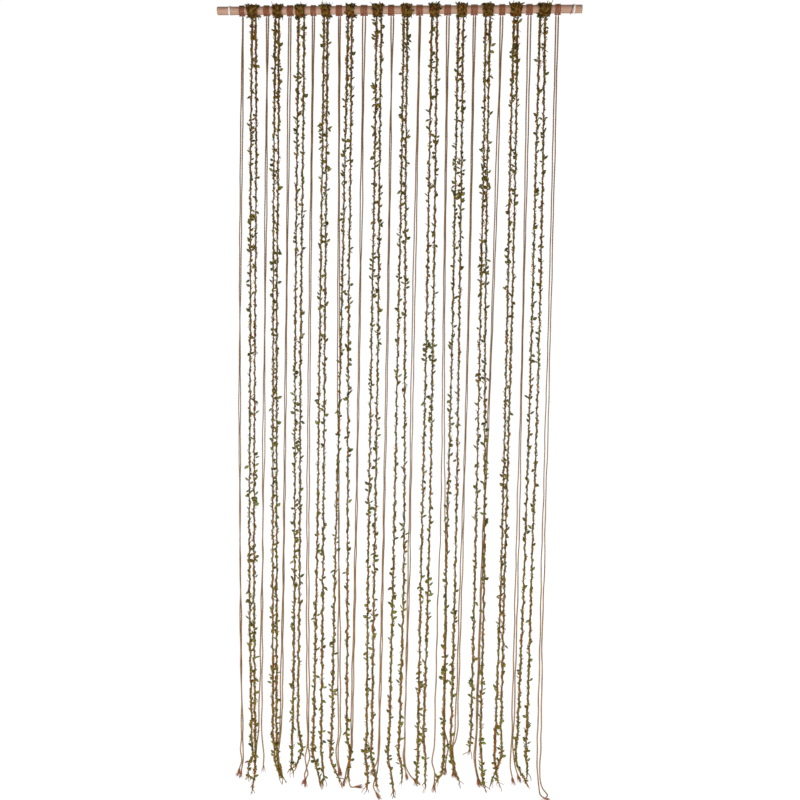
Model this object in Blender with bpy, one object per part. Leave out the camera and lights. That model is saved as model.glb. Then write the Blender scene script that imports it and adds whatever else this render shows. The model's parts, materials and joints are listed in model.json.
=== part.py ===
"""Door curtain: leaf garlands and plain cord pairs hitched side by side on a wooden rod.

The rod lies along X with its axis through the origin, and the strands hang down -Z.
Every hank is one piece: a ridged hitch round the rod with two strands below it.
"""

import math
import random
from dataclasses import dataclass
from enum import Enum

import bmesh
import bpy
from mathutils import Vector

MM = 0.001

# Rod
ROD_LENGTH = 900 * MM
ROD_RADIUS = 10 * MM
ROD_CHAMFER = 1.2 * MM
ROD_SIDES = 24

# Clearance between a piece and the rod that it sits on
FIT_GAP = 0.3 * MM

# White hanging bands near the rod's ends, two turns of cord each
BAND_SIDES = 16
BAND_TURNS = 2
BAND_WIDTH = 4.4 * MM
BAND_CORD = 2.0 * MM
LEFT_BAND_INSET = 31.8 * MM
RIGHT_BAND_INSET = 18.5 * MM

# Brown tie thread that leans across the rod beside the right band
TIE_SIDES = 16
TIE_WIDTH = 1.2 * MM
TIE_THICKNESS = 1.3 * MM
TIE_INSET = 24.5 * MM
TIE_LEAN = 1.5 * MM

# Hitches round the rod
HITCH_SIDES = 10
HITCH_TURNS = 4
RIDGE_DEPTH = 0.38
BOTTOM_SPAN_DEG = 40.0

# Plain cord
CORD_RADIUS = 1.65 * MM
CORD_SIDES = 3
CORD_STEP = 125 * MM
CORD_HITCH_THICKNESS = 2.8 * MM
CORD_HITCH_SAG = 1.4 * MM
CORD_HITCH_FLARE = 1.16
CORD_ROOT_SHARE = 0.55
CORD_PAIR_DISTANCE = 4.2 * MM
CORD_TIP_DISTANCE = 7.4 * MM
FRAY_LENGTH = 24 * MM
FRAY_RADIUS = 3.1 * MM
FRAY_BELLY_SHARE = 0.25
FRAY_TIP_SHARE = 0.45

# Leaf garland
STEM_RADIUS = 3.3 * MM
STEM_SIDES = 4
STEM_WOBBLE = 0.9 * MM
STEM_FULL_SHARES = (0.85, 1.0)
STEM_THIN_SHARES = (0.7, 0.95)
STEM_TIP_SHARE = 0.35
LEAVES_PER_STRAND = 6
LEAF_OUTWARD_SHARE = 0.6
LEAF_TILT_DEG = (30, 55)
LEAF_LENGTH_SHARES = (0.8, 1.1)
LEAF_PITCH_JITTER = 0.22
LEAF_BROADEST_SHARE = 0.55
LEAF_LENGTH = 10 * MM
LEAF_HALF_WIDTH = 2.2 * MM
LEAF_HALF_THICKNESS = 0.8 * MM
LEAF_BASE = 4 * MM
LEAF_TOP_DEPTHS = (60 * MM, 170 * MM)
LEAF_TIP_CLEARANCE = 70 * MM
ROOT_RADIUS = 4.4 * MM
ROOT_LENGTH = 13 * MM
LEAF_ROOT_SHARE = 0.45
LEAF_HITCH_THICKNESS = 5.0 * MM
LEAF_HITCH_SAG = 2.6 * MM
LEAF_HITCH_FLARE = 0.86
LEAF_HITCH_LUMP = 0.9 * MM
STEM_PAIR_DISTANCE = 8.6 * MM

# Garlands hang a little in front of the plain cords, so crossing ends stay apart.
# They part from the cords between these two depths.
GARLAND_FORWARD = 4.5 * MM
CORD_SETBACK = 5.5 * MM
PARTING_DEPTHS = (30 * MM, 900 * MM)

# Heights over the lowest tip between which a cord pair opens for its frayed ends
TIP_OPENING = (170 * MM, 60 * MM)

# Depths under the rod's axis, in millimetres, at which the table below gives sway and gap
SWAY_DEPTHS = (50, 790, 1400, 1840)
GAP_DEPTHS = (50, 340, 790, 1400, 1840)


class Kind(Enum):
    """The two kinds of hank that take turns along the rod."""

    CORD = "cord_pair"
    LEAF = "leaf_pair"


@dataclass(frozen=True)
class Hank:
    """One hitch with its two strands, in millimetres.

    x and width place the hitch on the rod. sway is the pair's sideways drift and gap the
    distance between its strands, at the depths above. A tip is (x from the hitch, depth).
    """

    kind: Kind
    x: float
    width: float
    sway: tuple
    gap: tuple
    left_tip: tuple
    right_tip: tuple


HANKS = (
    Hank(Kind.CORD, -388, 13.0, (2, -3, 1, 8), (4, 5, 3, 3, 4), (-5, 1957), (8, 1968)),
    Hank(Kind.LEAF, -361, 34.5, (3, 5, 6, 13), (9, 14, 12, 12, 9), (8, 1993), (17, 1966)),
    Hank(Kind.CORD, -326, 14.5, (2, -1, -3, -6), (5, 4, 3, 4, 9), (-14, 1912), (5, 1938)),
    Hank(Kind.LEAF, -298, 29.0, (-2, -1, 3, 6), (9, 11, 9, 10, 9), (15, 1941), (25, 1957)),
    Hank(Kind.CORD, -267, 15.0, (-1, -5, -7, -11), (5, 5, 3, 3, 5), (-13, 1936), (-7, 1952)),
    Hank(Kind.LEAF, -242, 30.0, (3, 2, 5, 4), (14, 15, 14, 13, 13), (-7, 1948), (6, 1928)),
    Hank(Kind.CORD, -209, 13.0, (0, -3, -2, 3), (5, 3, 4, 5, 4), (-6, 1960), (0, 1976)),
    Hank(Kind.LEAF, -177, 29.0, (-1, -1, -1, -3), (9, 10, 13, 16, 20), (1, 1969), (14, 1957)),
    Hank(Kind.CORD, -145, 15.0, (1, 7, 15, 21), (4, 3, 5, 3, 6), (19, 1929), (25, 1942)),
    Hank(Kind.LEAF, -117, 26.5, (-1, -4, -6, -6), (9, 14, 18, 32, 39), (-9, 1955), (20, 1974)),
    Hank(Kind.CORD, -83, 17.0, (0, -2, -5, -9), (7, 4, 3, 3, 5), (-16, 1960), (-10, 1968)),
    Hank(Kind.LEAF, -49, 32.0, (3, 4, 3, 4), (12, 12, 16, 16, 13), (-5, 1966), (23, 1978)),
    Hank(Kind.CORD, -16, 15.0, (3, 2, -1, -4), (6, 4, 3, 3, 4), (-8, 1938), (8, 1996)),
    Hank(Kind.LEAF, 22, 32.0, (-2, 0, 2, -2), (9, 10, 17, 27, 26), (-4, 1992), (12, 1954)),
    Hank(Kind.CORD, 54, 16.0, (1, -3, -4, -8), (4, 4, 5, 5, 4), (-6, 1953), (24, 1950)),
    Hank(Kind.LEAF, 91, 31.0, (0, 2, 0, -3), (13, 15, 17, 19, 14), (-9, 1936), (8, 1970)),
    Hank(Kind.CORD, 123, 16.0, (1, 5, 13, 13), (6, 3, 4, 18, 24), (-1, 1976), (27, 1930)),
    Hank(Kind.LEAF, 158, 30.0, (-2, 0, -1, -2), (12, 14, 17, 23, 19), (-27, 1958), (19, 1947)),
    Hank(Kind.CORD, 188, 16.0, (1, 1, -4, -9), (5, 4, 3, 6, 8), (-15, 1937), (-6, 1942)),
    Hank(Kind.LEAF, 222, 32.5, (0, 3, 8, 7), (11, 9, 13, 23, 25), (-9, 1872), (32, 1957)),
    Hank(Kind.CORD, 256, 14.5, (-1, -8, -20, -25), (6, 6, 3, 3, 4), (-20, 1945), (-3, 1973)),
    Hank(Kind.LEAF, 290, 35.5, (0, 1, -1, -4), (9, 13, 11, 9, 14), (-19, 1946), (1, 1953)),
    Hank(Kind.CORD, 322, 15.0, (1, 3, 3, 2), (7, 6, 3, 6, 5), (6, 1954), (15, 1948)),
    Hank(Kind.LEAF, 359, 38.0, (-4, -3, -7, -12), (12, 17, 19, 19, 24), (-21, 1948), (4, 1920)),
    Hank(Kind.CORD, 391, 13.5, (-1, 0, -1, 1), (6, 6, 5, 7, 8), (6, 1980), (24, 1974)),
)


@dataclass
class Ring:
    """One cross-section of a strand: its centre, its radius and whether a leaf starts here."""

    centre: Vector
    radius: float
    leaf: Vector | None = None


def clear_scene():
    """Remove whatever the scene holds."""
    for item in list(bpy.data.objects):
        bpy.data.objects.remove(item, do_unlink=True)


def make_material(name, colour, roughness):
    """A plain Principled material for textile or wood."""
    material = bpy.data.materials.new(name)
    material.use_nodes = True
    shader = material.node_tree.nodes["Principled BSDF"]
    shader.inputs["Base Color"].default_value = (*colour, 1.0)
    shader.inputs["Roughness"].default_value = roughness
    shader.inputs["Metallic"].default_value = 0.0
    return material


def link_object(name, bm, material):
    """Turn a finished bmesh into a named object with one material."""
    bmesh.ops.recalc_face_normals(bm, faces=bm.faces)
    mesh = bpy.data.meshes.new(name)
    bm.to_mesh(mesh)
    bm.free()
    mesh.materials.append(material)
    part = bpy.data.objects.new(name, mesh)
    bpy.context.collection.objects.link(part)
    return part


def smooth_value(stations, values, at):
    """Read a smooth curve through the given stations at one place."""
    last = len(stations) - 1
    if at <= stations[0]:
        return values[0]
    if at >= stations[last]:
        return values[last]
    left = max(index for index in range(last) if stations[index] <= at)

    def slope(index):
        low = max(index - 1, 0)
        high = min(index + 1, last)
        return (values[high] - values[low]) / (stations[high] - stations[low])

    span = stations[left + 1] - stations[left]
    t = (at - stations[left]) / span
    start_weight = 2 * t**3 - 3 * t**2 + 1
    end_weight = 3 * t**2 - 2 * t**3
    start_bend = (t**3 - 2 * t**2 + t) * span * slope(left)
    end_bend = (t**3 - t**2) * span * slope(left + 1)
    return start_weight * values[left] + end_weight * values[left + 1] + start_bend + end_bend


def smooth_step(start, end, at):
    """Rise smoothly from 0 at start to 1 at end."""
    t = min(max((at - start) / (end - start), 0.0), 1.0)
    return t * t * (3 - 2 * t)


def build_rod(material):
    """A round dowel along X with chamfered ends."""
    half = ROD_LENGTH / 2
    stations = (
        (-half, ROD_RADIUS - ROD_CHAMFER),
        (-half + ROD_CHAMFER, ROD_RADIUS),
        (half - ROD_CHAMFER, ROD_RADIUS),
        (half, ROD_RADIUS - ROD_CHAMFER),
    )
    bm = bmesh.new()
    rings = []
    for x, radius in stations:
        ring = []
        for side in range(ROD_SIDES):
            angle = math.tau * side / ROD_SIDES
            ring.append(bm.verts.new((x, radius * math.cos(angle), radius * math.sin(angle))))
        rings.append(ring)
    bridge_rings(bm, rings)
    bm.faces.new(rings[0])
    bm.faces.new(list(reversed(rings[-1])))
    rod = link_object("rod", bm, material)
    rod.data.shade_smooth()
    rod.data.set_sharp_from_angle(angle=math.radians(30))
    return rod


def bridge_rings(bm, rings, closed=False):
    """Join neighbouring rings of vertices with quads."""
    count = len(rings[0])
    pairs = list(zip(rings, rings[1:]))
    if closed:
        pairs.append((rings[-1], rings[0]))
    for first, second in pairs:
        for index in range(count):
            after = (index + 1) % count
            bm.faces.new((first[index], first[after], second[after], second[index]))


def ridge_profile(turns, width, thickness):
    """Outer half-profile of turns laid side by side: (place across, height over the base)."""
    points = [(-width / 2, thickness * (1 - RIDGE_DEPTH))]
    for turn in range(turns):
        centre = -width / 2 + width * (turn + 0.5) / turns
        points.append((centre, thickness))
        points.append((centre + width / turns / 2, thickness * (1 - RIDGE_DEPTH)))
    return points


def sleeve_mesh(sides, width, thickness, turns, shape_at):
    """A ridged sleeve round the rod, centred on X = 0.

    shape_at(angle, turn place) gives (stretch across, extra radius, shift along X) at that
    angle, where 0 points to +Y and 90 degrees points up.
    """
    inner = (ROD_RADIUS + FIT_GAP) / math.cos(math.pi / sides)
    bm = bmesh.new()
    rings = []
    for side in range(sides):
        angle = math.tau * (side + 0.5) / sides
        ring = []
        profile = [(place, 0.0) for place in (width / 2, -width / 2)]
        profile += ridge_profile(turns, width, thickness)
        for place, height in profile:
            stretch, extra, shift = shape_at(angle, place / width)
            radius = inner + (height + extra if height else 0.0)
            x = place * stretch + shift
            ring.append(bm.verts.new((x, radius * math.cos(angle), radius * math.sin(angle))))
        rings.append(ring)
    bridge_rings(bm, rings, closed=True)
    return bm


def build_band(name, x, material):
    """Two turns of white cord round the rod, where the hanging loop sat."""

    def plain(angle, place):
        return 1.0, 0.0, 0.0

    bm = sleeve_mesh(BAND_SIDES, BAND_WIDTH, BAND_CORD, BAND_TURNS, plain)
    bmesh.ops.translate(bm, verts=bm.verts, vec=(x, 0, 0))
    return link_object(name, bm, material)


def build_tie(name, x, material):
    """One turn of brown thread that leans across the rod."""

    def lean(angle, place):
        return 1.0, 0.0, TIE_LEAN * math.sin(angle)

    bm = sleeve_mesh(TIE_SIDES, TIE_WIDTH, TIE_THICKNESS, 1, lean)
    bmesh.ops.translate(bm, verts=bm.verts, vec=(x, 0, 0))
    return link_object(name, bm, material)


def build_hitch(name, hank, chance, material):
    """The ridged turns of one hank round the rod, lower and shaped under it."""
    leafy = hank.kind is Kind.LEAF
    thickness = LEAF_HITCH_THICKNESS if leafy else CORD_HITCH_THICKNESS
    sag = LEAF_HITCH_SAG if leafy else CORD_HITCH_SAG
    flare = LEAF_HITCH_FLARE if leafy else CORD_HITCH_FLARE
    lump = LEAF_HITCH_LUMP if leafy else 0.0

    def shape_at(angle, place):
        from_bottom = abs(angle - math.radians(270))
        below = 1.0 - smooth_step(0.0, math.radians(BOTTOM_SPAN_DEG), from_bottom)
        stretch = 1.0 + (flare - 1.0) * below
        return stretch, sag * below + chance.uniform(-lump, lump), 0.0

    bm = sleeve_mesh(HITCH_SIDES, hank.width * MM, thickness, HITCH_TURNS, shape_at)
    bmesh.ops.translate(bm, verts=bm.verts, vec=(hank.x * MM, 0, 0))
    return link_object(name, bm, material)


def strand_centre(hank, side, depth):
    """Centre of one strand at a depth under the rod's axis; side is -1 left, +1 right."""
    leafy = hank.kind is Kind.LEAF
    lowest = max(hank.left_tip[1], hank.right_tip[1])
    tip_middle = (hank.left_tip[0] + hank.right_tip[0]) / 2
    tip_gap = hank.right_tip[0] - hank.left_tip[0]
    middle = smooth_value(SWAY_DEPTHS + (lowest,), hank.sway + (tip_middle,), depth / MM) * MM
    gap = smooth_value(GAP_DEPTHS + (lowest,), hank.gap + (tip_gap,), depth / MM) * MM
    nearest = STEM_PAIR_DISTANCE
    if not leafy:
        start, end = (lowest * MM - height for height in TIP_OPENING)
        opening = (CORD_TIP_DISTANCE - CORD_PAIR_DISTANCE) * smooth_step(start, end, depth)
        nearest = CORD_PAIR_DISTANCE + opening
    behind = math.sqrt(max(nearest**2 - gap**2, 0.0))
    parting = smooth_step(*PARTING_DEPTHS, depth)
    y = -GARLAND_FORWARD * parting if leafy else CORD_SETBACK * parting
    x = hank.x * MM + middle + side * gap / 2
    return Vector((x, y + side * behind / 2, -depth))


def cord_rings(hank, side):
    """Cross-sections of one plain cord, from inside the hitch to its frayed tip."""
    drop = (hank.left_tip if side < 0 else hank.right_tip)[1] * MM
    root = ROD_RADIUS + FIT_GAP + CORD_HITCH_THICKNESS * CORD_ROOT_SHARE
    shaft_end = drop - FRAY_LENGTH
    steps = math.ceil((shaft_end - root) / CORD_STEP)
    depths = [root + (shaft_end - root) * step / steps for step in range(steps + 1)]
    rings = [Ring(strand_centre(hank, side, depth), CORD_RADIUS) for depth in depths]
    belly = drop - FRAY_LENGTH * FRAY_BELLY_SHARE
    rings.append(Ring(strand_centre(hank, side, belly), FRAY_RADIUS))
    rings.append(Ring(strand_centre(hank, side, drop), FRAY_RADIUS * FRAY_TIP_SHARE))
    return rings


def leaf_direction(side, chance, gap):
    """Where a leaf points and how long it is: outward, or inward where there is room."""
    inner_room = gap - 2 * STEM_RADIUS - LEAF_BASE
    length = LEAF_LENGTH * chance.uniform(*LEAF_LENGTH_SHARES)
    narrow = inner_room < 2 * LEAF_HALF_WIDTH + LEAF_LENGTH / 2
    outward = chance.random() < LEAF_OUTWARD_SHARE or narrow
    if not outward:
        length = min(length, inner_room)
    facing = side if outward else -side
    tilt = math.radians(chance.uniform(*LEAF_TILT_DEG)) * chance.choice((-1, 1, 1))
    return Vector((facing * math.cos(tilt), 0.0, math.sin(tilt))) * length


def stem_rings(hank, side, chance):
    """Cross-sections of one garland stem, knobbly and with paired rings at each leaf."""
    drop = (hank.left_tip if side < 0 else hank.right_tip)[1] * MM
    root = ROD_RADIUS + FIT_GAP + LEAF_HITCH_THICKNESS * LEAF_ROOT_SHARE
    root_gap = (strand_centre(hank, 1, root) - strand_centre(hank, -1, root)).length
    root_radius = min(ROOT_RADIUS, (root_gap - FIT_GAP) / math.sqrt(2))
    rings = [
        Ring(strand_centre(hank, side, root), root_radius),
        Ring(strand_centre(hank, side, root + ROOT_LENGTH / 3), root_radius),
        Ring(strand_centre(hank, side, root + ROOT_LENGTH), STEM_RADIUS),
    ]
    first = chance.uniform(*LEAF_TOP_DEPTHS)
    last = drop - LEAF_TIP_CLEARANCE
    pitch = (last - first) / (LEAVES_PER_STRAND - 1)
    for index in range(LEAVES_PER_STRAND):
        depth = first + pitch * index
        if 0 < index < LEAVES_PER_STRAND - 1:
            depth += chance.uniform(-LEAF_PITCH_JITTER, LEAF_PITCH_JITTER) * pitch
        wobble = Vector((chance.uniform(-STEM_WOBBLE, STEM_WOBBLE), 0, 0))
        gap = (strand_centre(hank, 1, depth) - strand_centre(hank, -1, depth)).length
        leaf = leaf_direction(side, chance, gap)
        upper = strand_centre(hank, side, depth) + wobble
        lower = strand_centre(hank, side, depth + LEAF_BASE) + wobble
        rings.append(Ring(upper, STEM_RADIUS * chance.uniform(*STEM_FULL_SHARES), leaf))
        rings.append(Ring(lower, STEM_RADIUS * chance.uniform(*STEM_FULL_SHARES)))
        if index < LEAVES_PER_STRAND - 1:
            between = strand_centre(hank, side, depth + pitch / 2)
            between.x += chance.uniform(-STEM_WOBBLE, STEM_WOBBLE)
            rings.append(Ring(between, STEM_RADIUS * chance.uniform(*STEM_THIN_SHARES)))
    rings.append(Ring(strand_centre(hank, side, drop - FRAY_LENGTH), STEM_RADIUS))
    rings.append(Ring(strand_centre(hank, side, drop), STEM_RADIUS * STEM_TIP_SHARE))
    return rings


def add_leaf(bm, base, direction):
    """Grow a flat pointed leaf from a quad on the stem's side."""
    centre = sum((vert.co for vert in base), Vector()) / len(base)
    length = direction.length
    along = direction / length
    across = Vector((0, 1, 0)).cross(along)
    if across.z < 0:
        across = -across
    middle = []
    for vert in base:
        up = 1 if vert.co.z > centre.z else -1
        back = 1 if vert.co.y > centre.y else -1
        place = centre + along * length * LEAF_BROADEST_SHARE + across * LEAF_HALF_WIDTH * up
        place.y += LEAF_HALF_THICKNESS * back
        middle.append(bm.verts.new(place))
    tip = bm.verts.new(centre + direction)
    for index in range(4):
        after = (index + 1) % 4
        bm.faces.new((base[index], base[after], middle[after], middle[index]))
        bm.faces.new((middle[index], middle[after], tip))


def strand_mesh(bm, rings, sides):
    """Skin a strand's rings into bm, closed at both ends, with its leaves."""
    verts = []
    for ring in rings:
        corners = []
        for corner in range(sides):
            angle = math.tau * (corner + 0.5) / sides
            reach = Vector((math.cos(angle), math.sin(angle), 0)) * ring.radius
            corners.append(bm.verts.new(ring.centre + reach))
        verts.append(corners)
    for ring, upper, lower in zip(rings, verts, verts[1:]):
        for corner in range(sides):
            after = (corner + 1) % sides
            quad = (upper[corner], upper[after], lower[after], lower[corner])
            facing = sum((vert.co for vert in quad), Vector()) / len(quad) - ring.centre
            sideways = abs(facing.x) > abs(facing.y)
            if ring.leaf is not None and sideways and facing.x * ring.leaf.x > 0:
                add_leaf(bm, quad, ring.leaf)
            else:
                bm.faces.new(quad)
    bm.faces.new(verts[0])
    bm.faces.new(list(reversed(verts[-1])))


def join_into(target, other):
    """Boolean union of two closed objects, kept in the target."""
    union = target.modifiers.new("join", "BOOLEAN")
    union.operation = "UNION"
    union.solver = "EXACT"
    union.object = other
    view = bpy.context.evaluated_depsgraph_get()
    joined = bpy.data.meshes.new_from_object(target.evaluated_get(view))
    target.modifiers.remove(union)
    target.data = joined
    bpy.data.objects.remove(other, do_unlink=True)


def build_hank(name, hank, seed, material):
    """One hank: its hitch with both strands fused into the hitch's underside."""
    chance = random.Random(seed)
    hitch = build_hitch(name, hank, chance, material)
    for side in (-1, 1):
        bm = bmesh.new()
        if hank.kind is Kind.LEAF:
            strand_mesh(bm, stem_rings(hank, side, chance), STEM_SIDES)
        else:
            strand_mesh(bm, cord_rings(hank, side), CORD_SIDES)
        strand = link_object(name + "_strand", bm, material)
        join_into(hitch, strand)
    hitch.data.name = name
    return hitch


def main():
    """Build the whole curtain."""
    clear_scene()
    wood = make_material("rod_wood", (0.55, 0.33, 0.22), 0.55)
    cord = make_material("brown_cord", (0.18, 0.075, 0.04), 0.85)
    garland = make_material("leaf_garland", (0.10, 0.10, 0.045), 0.8)
    white = make_material("white_cord", (0.85, 0.83, 0.78), 0.8)

    build_rod(wood)
    half = ROD_LENGTH / 2
    build_band("hanging_band_left", -half + LEFT_BAND_INSET, white)
    build_band("hanging_band_right", half - RIGHT_BAND_INSET, white)
    build_tie("tie_thread", half - TIE_INSET, cord)

    counts = {kind: 0 for kind in Kind}
    for seed, hank in enumerate(HANKS):
        counts[hank.kind] += 1
        name = f"{hank.kind.value}_{counts[hank.kind]:02d}"
        build_hank(name, hank, seed, garland if hank.kind is Kind.LEAF else cord)


main()
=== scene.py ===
"""Looks of a door curtain: leaf garlands and brown cord pairs hitched on a wooden rod.

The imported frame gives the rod, its bands and the place of every hank. Each hank is dressed
along its own route: up one strand, round the rod in a double hitch and down the other.
"""

from __future__ import annotations

import json
import logging
import math
import random
from dataclasses import dataclass
from enum import Enum
from typing import ClassVar, NamedTuple

import bmesh
import bpy
from mathutils import Matrix, Vector

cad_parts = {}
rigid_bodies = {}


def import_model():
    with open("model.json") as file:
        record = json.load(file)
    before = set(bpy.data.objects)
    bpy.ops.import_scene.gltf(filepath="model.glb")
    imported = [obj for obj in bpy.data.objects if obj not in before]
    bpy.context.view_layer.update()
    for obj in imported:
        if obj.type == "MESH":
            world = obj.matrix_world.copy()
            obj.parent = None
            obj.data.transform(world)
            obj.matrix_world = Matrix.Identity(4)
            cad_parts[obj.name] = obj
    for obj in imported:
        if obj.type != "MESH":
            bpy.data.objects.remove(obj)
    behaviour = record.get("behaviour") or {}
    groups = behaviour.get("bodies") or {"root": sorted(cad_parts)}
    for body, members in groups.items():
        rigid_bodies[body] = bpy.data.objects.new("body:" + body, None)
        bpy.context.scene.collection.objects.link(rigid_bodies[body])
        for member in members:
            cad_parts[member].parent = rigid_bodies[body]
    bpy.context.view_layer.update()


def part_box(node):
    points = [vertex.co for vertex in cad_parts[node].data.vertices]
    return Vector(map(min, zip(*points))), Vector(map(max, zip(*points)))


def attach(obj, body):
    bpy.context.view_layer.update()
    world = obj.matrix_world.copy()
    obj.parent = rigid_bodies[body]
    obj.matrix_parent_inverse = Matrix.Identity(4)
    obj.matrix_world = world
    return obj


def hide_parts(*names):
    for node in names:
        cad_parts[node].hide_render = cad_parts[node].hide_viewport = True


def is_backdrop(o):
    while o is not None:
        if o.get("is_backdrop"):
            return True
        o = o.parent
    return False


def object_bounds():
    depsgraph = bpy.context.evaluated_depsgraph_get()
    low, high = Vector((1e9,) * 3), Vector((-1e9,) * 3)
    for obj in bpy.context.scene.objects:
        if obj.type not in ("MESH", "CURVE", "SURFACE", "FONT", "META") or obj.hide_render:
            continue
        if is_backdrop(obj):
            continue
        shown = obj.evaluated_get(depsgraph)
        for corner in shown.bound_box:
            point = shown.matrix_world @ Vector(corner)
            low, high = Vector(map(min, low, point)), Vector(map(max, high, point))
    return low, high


LOG = logging.getLogger("door_curtain")
MM = 0.001
Triple = tuple[float, float, float]
Range = tuple[float, float]
Colour = Triple
Points = list[Vector]
Socket = bpy.types.NodeSocket
X_AXIS: Triple = (1.0, 0.0, 0.0)
Y_AXIS: Triple = (0.0, 1.0, 0.0)
Z_AXIS: Triple = (0.0, 0.0, 1.0)


class Kind(Enum):
    """The two kinds of hank that take turns along the rod."""

    CORD = "cord_pair"
    LEAF = "leaf_pair"


@dataclass(frozen=True)
class Hank:
    """One hitch with its two strands, in millimetres, as the frame's solids have it.

    x and width place the hitch on the rod. sway is the pair's sideways drift and gap the
    distance between its strands as seen from the front, at the depths in StrandRoute. A
    tail is the last stretch of one strand, as (x from the hitch, depth), where it curls,
    crosses its neighbour or splays before its loose end. fray is how full the left and
    the right end are.
    """

    kind: Kind
    x: float
    width: float
    sway: tuple[float, ...]
    gap: tuple[float, ...]
    left_tail: tuple[tuple[float, float], ...]
    right_tail: tuple[tuple[float, float], ...]
    fray: tuple[float, float] = (1.0, 1.0)


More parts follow.
